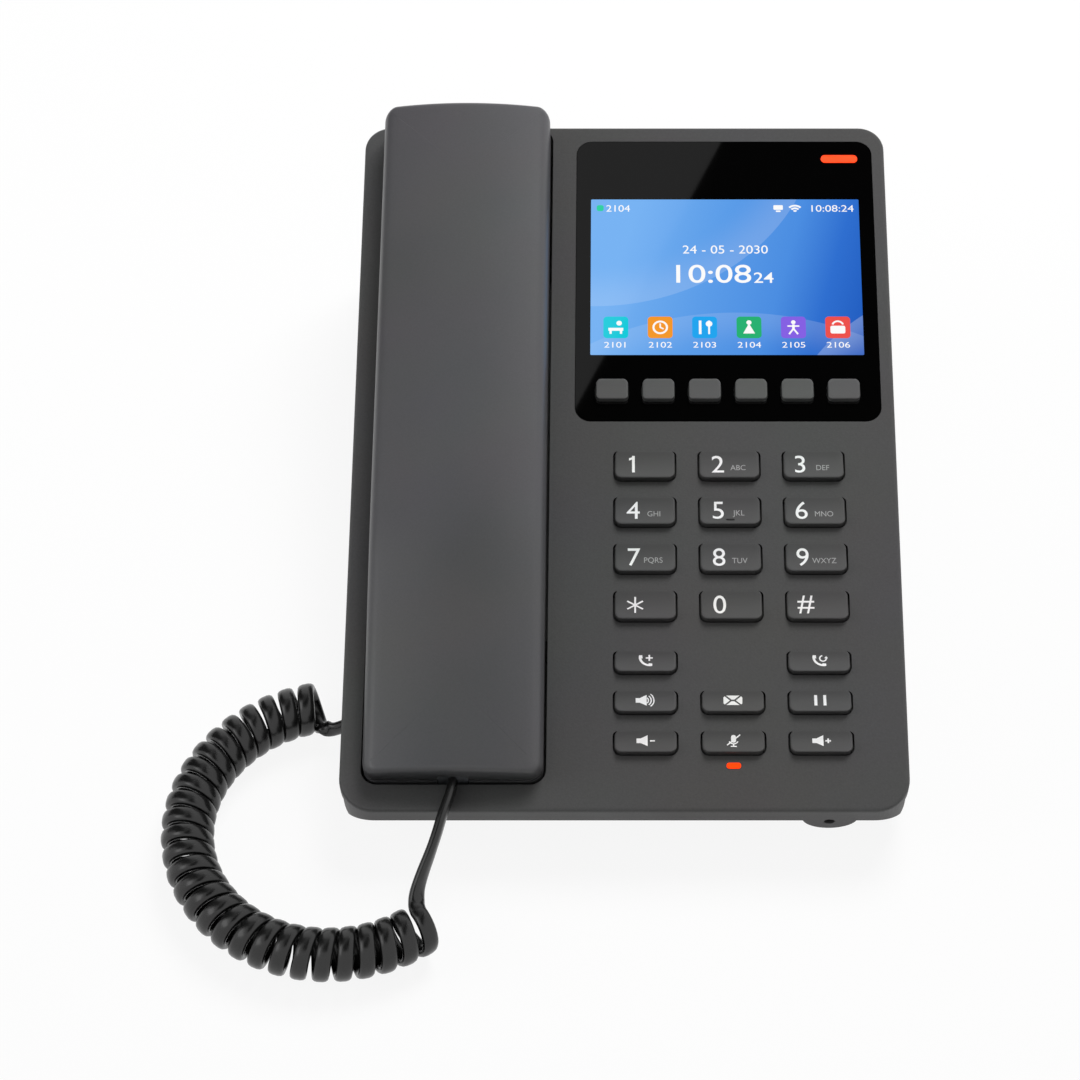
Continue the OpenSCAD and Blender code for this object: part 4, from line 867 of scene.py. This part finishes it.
# A plain white symbol on each tile: shapes of closed loops round the tile's middle
TILE_SYMBOLS = [
    [[bar(-2, -0.6, 2, -0.6, 0.9)], [disc(0.9, 1.3, 0.75)], [bar(-1.4, -2.0, -1.4, -0.8, 0.6)],
     [bar(1.4, -2.0, 1.4, -0.8, 0.6)]],
    [[disc(0, 0, 2.1, 24), disc(0, 0, 1.55, 24)[::-1]], [bar(0, -0.1, 0, 1.2, 0.4)], [bar(0, 0, 0.9, -0.5, 0.4)]],
    [[bar(-1.2, -2.1, -1.2, 2.1, 0.7)], [bar(1.2, -2.1, 1.2, 2.1, 0.5)], [disc(1.2, 1.1, 0.9)]],
    [[[(-1.6, -1.9), (1.6, -1.9), (0, 1.2)]], [disc(0, 1.5, 0.7)]],
    [[disc(0, 1.6, 0.62)], [bar(0, 0.9, 0, -0.6, 0.7)], [bar(-1.6, 0.4, 1.6, 0.4, 0.45)],
     [bar(0, -0.4, -1.2, -2.1, 0.5)], [bar(0, -0.4, 1.2, -2.1, 0.5)]],
    [[rounded(4.0, 2.4, 0.5, 0, -0.7)], [band(0, 0.4, 1.5, 20, 160, 0.5)]],
]
# The words on the picture: text, size, middle, stretch and weight
WORDS = [("10:08", 8.1, (-4.2, 0.75), 1.26, 0.03), ("24", 4.7, (10.2, -0.45), 1.2, 0.02),
         ("24 - 05 - 2030", 3.7, (-0.1, 8.45), 1.1), ("2104", 3.0, (-29.3, 21.6), 1.12),
         ("10:08:24", 3.0, (29.2, 21.6), 1.2)]
# Two small marks on the picture's top line: waves, and a screen on its stand
WAVES_MARK = [band(19.2, 20.3, 0.5 + 0.85 * k, 45, 135, 0.55) for k in range(3)]
SCREEN_MARK = [rounded(2.6, 1.5, 0.3, 14.6, 21.9), rounded(1.3, 0.5, 0.15, 14.6, 20.7)]

marks = []
for i, (tile_x, shapes) in enumerate(zip(TILE_XS, TILE_SYMBOLS)):
    for loops in shapes:
        marks.append(curve_mesh([[(x + tile_x, y + TILE_Y) for x, y in loop] for loop in loops]))
    # A plain number stands where each tile's caption is
    marks.append(text_mesh(str(2101 + i), CAPTION_SIZE, (tile_x, CAPTION_Y), CAPTION_STRETCH))
marks += [text_mesh(*word) for word in WORDS]
marks += [curve_mesh([loop]) for loop in WAVES_MARK + SCREEN_MARK]
flat_piece("display_figures", [(mark, 0) for mark in marks], on_picture(FIGURE_Z),
           [glow("display_white_figures", "#FFFFFF")], "base")
flat_piece("display_dot", [(curve_mesh([rounded(1.9, 1.9, 0.6, -34.2, 21.7)]), 0)], on_picture(FIGURE_Z),
           [glow("display_green_dot", "#20D0A0")], "base")


# ---- Repeated small parts: one part set on points by Geometry Nodes ----

def repeat_tree():
    """Copies a part, less its cutter, onto every point, each turned a little further than the last."""
    tree = bpy.data.node_groups.new("repeat_on_points", "GeometryNodeTree")
    for label, kind in (("Geometry", "Geometry"), ("Part", "Object"), ("Cutter", "Object"), ("Turn", "Float"),
                        ("Finish", "Material")):
        tree.interface.new_socket(label, in_out="INPUT", socket_type="NodeSocket" + kind)
    tree.interface.new_socket("Geometry", in_out="OUTPUT", socket_type="NodeSocketGeometry")
    given = add_node(tree, "NodeGroupInput")
    part = add_node(tree, "GeometryNodeObjectInfo", links={"Object": given.outputs["Part"]})
    cutter = add_node(tree, "GeometryNodeObjectInfo", links={"Object": given.outputs["Cutter"]})
    cut = add_node(tree, "GeometryNodeMeshBoolean", {"operation": "DIFFERENCE", "solver": "EXACT"},
                   {"Mesh 1": part.outputs["Geometry"], "Mesh 2": cutter.outputs["Geometry"]})
    count = add_node(tree, "GeometryNodeInputIndex")
    angle = maths(tree, "MULTIPLY", count.outputs["Index"], given.outputs["Turn"])
    turned = add_node(tree, "ShaderNodeCombineXYZ", links={"Z": angle})
    copies = add_node(tree, "GeometryNodeInstanceOnPoints",
                      links={"Points": given.outputs["Geometry"], "Instance": cut.outputs["Mesh"],
                             "Rotation": turned.outputs["Vector"]})
    real = add_node(tree, "GeometryNodeRealizeInstances", links={"Geometry": copies.outputs["Instances"]})
    coated = add_node(tree, "GeometryNodeSetMaterial",
                      links={"Geometry": real.outputs["Geometry"], "Material": given.outputs["Finish"]})
    add_node(tree, "NodeGroupOutput", links={"Geometry": coated.outputs["Geometry"]})
    return tree


REPEAT = repeat_tree()


def turned_part(profile, sides=28, turn=Matrix()):
    """A turned part from its half section (radius, height) in millimetres."""
    points = [turn @ (Vector((x, y, z)) * MM) for r, z in profile for x, y in around(r, sides)]
    return plain_mesh("turned_part", points, ring_faces(sides, len(profile)))


def cross_cutter(arm, wide, deep, turn=Matrix()):
    """The cross that a screwdriver's recess is cut with."""
    a, b = arm / 2, wide / 2
    loop = [(-a, -b), (-b, -b), (-b, -a), (b, -a), (b, -b), (a, -b), (a, b), (b, b), (b, a), (-b, a), (-b, b),
            (-a, b)]
    points = [turn @ (Vector((x, y, z)) * MM) for z in (-0.5, deep) for x, y in loop]
    return plain_mesh("cross_cutter", points, ring_faces(len(loop), 2))


def repeated(name, places, part, cutter, turn, finish, body, node):
    """Sets the part on every place and makes the copies one plain mesh that stands for a node."""
    holder = link_object(name + "_places", plain_mesh(name + "_places", places, []))
    part_holder = link_object(name + "_part", part)
    cutter_holder = link_object(name + "_cutter", cutter)
    modifier = holder.modifiers.new("repeat", "NODES")
    modifier.node_group = REPEAT
    given = {"Part": part_holder, "Cutter": cutter_holder, "Turn": turn, "Finish": finish}
    for item in REPEAT.interface.items_tree:
        if item.name in given:
            modifier[item.identifier] = given[item.name]
    mesh = evaluated_mesh(holder)
    for helper in (holder, part_holder, cutter_holder):
        bpy.data.objects.remove(helper)
    mesh.name = name
    mesh.polygons.foreach_set("use_smooth", [True] * len(mesh.polygons))
    sharpen(mesh, 35)
    add_piece(name, mesh, body, node)


CASE_SCREWS = [(-43.05, 60.03), (-43.05, 150), (62, 32), (62, 104.1), (-14.5, 32), (-14.5, 104.1)]
repeated("case_screw_set", [Vector((u, FACE_Y + v * math.cos(TILT), 2.8)) * MM for u, v in CASE_SCREWS],
         turned_part([(0.6, 0), (2.2, 0), (2.6, 0.35), (2.6, 1.3), (1.15, 1.78), (1.15, 11.1), (0.5, 11.6)]),
         cross_cutter(3.1, 0.85, 0.9), 0.7, MAT["steel"], "base", "case_screws")
repeated("handset_screw_set", [on_face(HANDSET_U, v, 0.1 - GRIP_D) for v in (62, 148)],
         turned_part([(0.4, 0), (1.55, 0), (1.88, 0.3), (1.88, 0.85), (0.9, 0.9), (0.9, 7.4), (0.5, 8)],
                     turn=FACE_TURN),
         cross_cutter(2.2, 0.6, 0.6, turn=FACE_TURN), 0.0, MAT["steel"], "handset", "handset_screws")
repeated("foot_set", [Vector((side * 57.3, y, 0)) * MM for side in (-1, 1) for y in (FACE_Y + 20, REAR_Y - 10)],
         turned_part([(1.2, 0.35), (2.1, 0.35), (2.6, 0), (4.9, 0), (5.5, 0.2), (5.95, 0.7), (5.95, 2.75)], 36),
         plain_mesh("no_cutter", [], []), 0.0, MAT["rubber"], "base", "rubber_feet")


# ---- Finishes of the solids that stay ----

FINISHES = {
    "case": ("top_case", "bottom_case", "hook_plunger"), "handset": ("handset_front",),
    "window": ("display_window",), "foam": ("display_gasket",), "lens": ("message_light", "mute_light"),
    "silicone": ("keypad_mat",), "board": ("keypad_board", "main_board"), "rubber": ("microphone_boot",),
    "jack": ("lcd_module", "hook_switch", "power_jack", "base_cord_jack", "handset_cord_jack"),
    "plated": ("network_jack", "computer_jack"), "cone": ("speaker", "earpiece"),
    "steel": ("board_screws", "base_microphone", "handset_microphone", "handset_weight"),
    "plug": ("handset_plug", "base_plug"),
}
for finish, nodes in FINISHES.items():
    for node in nodes:
        NODES[node].data.materials.clear()
        NODES[node].data.materials.append(MAT[finish])


# ---- Stage, light and camera ----

def seen_directly(tree):
    """1 for the camera's own rays and for rays through or off a glossy surface, 0 for the rest."""
    rays = add_node(tree, "ShaderNodeLightPath").outputs
    return maths(tree, "MAXIMUM", maths(tree, "MAXIMUM", rays["Is Camera Ray"], rays["Is Glossy Ray"]),
                 rays["Is Transmission Ray"])


def floor_paper():
    """White sweep: seen white by the camera and in reflections, while the object's shadow stays on it."""
    material = bpy.data.materials.new("studio_floor_paper")
    tree = empty_tree(material)
    matt = add_node(tree, "ShaderNodeBsdfDiffuse", {"Color": linear("#F2F2F2")})
    white = add_node(tree, "ShaderNodeEmission", {"Color": (1, 1, 1, 1), "Strength": 1.0})
    mixed = add_node(tree, "ShaderNodeMixShader",
                     links={0: maths(tree, "MULTIPLY", seen_directly(tree), 0.9), 1: matt.outputs["BSDF"],
                            2: white.outputs["Emission"]})
    add_node(tree, "ShaderNodeOutputMaterial", links={"Surface": mixed.outputs["Shader"]})
    return material


def stage_sheet(name, corners, material):
    """One flat sheet of the studio."""
    mesh = plain_mesh(name, corners, [tuple(range(len(corners)))])
    mesh.materials.append(material)
    made = link_object(name, mesh)
    return made


def card(name, corners, brightness):
    """A card over the phone that only reflections see, as a studio flag or a lit panel."""
    material = bpy.data.materials.new(name + "_card")
    tree = empty_tree(material)
    light = add_node(tree, "ShaderNodeEmission", {"Color": (1, 1, 1, 1), "Strength": brightness})
    add_node(tree, "ShaderNodeOutputMaterial", links={"Surface": light.outputs["Emission"]})
    made = stage_sheet(name, corners, material)
    for ray in ("camera", "diffuse", "shadow", "transmission"):
        setattr(made, "visible_" + ray, False)


def panel_light(name, place, target, size, power):
    """A soft square light aimed at a point."""
    lamp = bpy.data.lights.new(name, "AREA")
    lamp.shape = "SQUARE"
    lamp.size = size
    lamp.energy = power
    made = link_object(name, lamp)
    made.location = place
    made.visible_glossy = False
    made.rotation_euler = (Vector(target) - Vector(place)).to_track_quat("-Z", "Y").to_euler()


stage_sheet("studio_floor", [(-4, -4, 0), (4, -4, 0), (4, 4, 0), (-4, 4, 0)], floor_paper())

# The room's light: white where it is seen, and a weak fill on the phone
world = bpy.data.worlds.new("studio")
bpy.context.scene.world = world
sky = empty_tree(world)
background = add_node(sky, "ShaderNodeBackground", {"Color": (1, 1, 1, 1)},
                      {"Strength": ranged(sky, seen_directly(sky), 0.19, 1.0)})
add_node(sky, "ShaderNodeOutputWorld", links={"Surface": background.outputs["Background"]})

# Overhead: grey to the left of a slanted edge, which the window shows, and black to its right;
# further forward a dark strip for the middle of the handset's lower half, with white on both sides
card("overhead_flag", [(-0.45, 0.08, 1.62), (0.33, 0.08, 1.62), (0.33, 1.3, 1.62), (-0.45, 1.3, 1.62)], 0.01)
card("overhead_grey", [(-0.45, 0.08, 1.6), (-0.245, 0.08, 1.6), (0.391, 1.3, 1.6), (-0.45, 1.3, 1.6)], 0.44)
card("left_flag", [(-1.9, 0.26, 1.6), (-0.45, 0.26, 1.6), (-0.45, 1.3, 1.6), (-1.9, 1.3, 1.6)], 0.08)
card("left_wall", [(-0.75, 0.16, 0.0), (-0.75, 1.3, 0.0), (-0.75, 1.3, 1.6), (-0.75, 0.26, 1.6)], 0.03)
card("left_strip", [(-2.2, -1.1, 1.5), (-1.05, -1.1, 1.6), (-1.05, 0.12, 1.6), (-2.2, 0.12, 1.5)], 2.6)
card("front_strip", [(-0.46, -0.7, 1.6), (0.24, -0.7, 1.6), (0.33, 0.08, 1.6), (-0.46, 0.08, 1.6)], 0.03)

panel_light("key_panel", (0.3, 0.62, 1.0), (0, 0.03, 0.03), 0.6, 14.2)
panel_light("left_panel", (-1.0, -0.12, 0.4), (-0.05, 0, 0.03), 0.5, 3.0)

camera_data = bpy.data.cameras.new("camera")
camera_data.lens = 107.9
camera_data.sensor_width = 36.0
camera_data.shift_x = -0.0782
camera_data.clip_start = 0.05
camera = link_object("camera", camera_data)
camera.location = (0, -0.5485, 0.6953)
camera.rotation_euler = (math.radians(38.3), 0, 0)
bpy.context.scene.camera = camera
bpy.context.scene.view_settings.view_transform = "Standard"
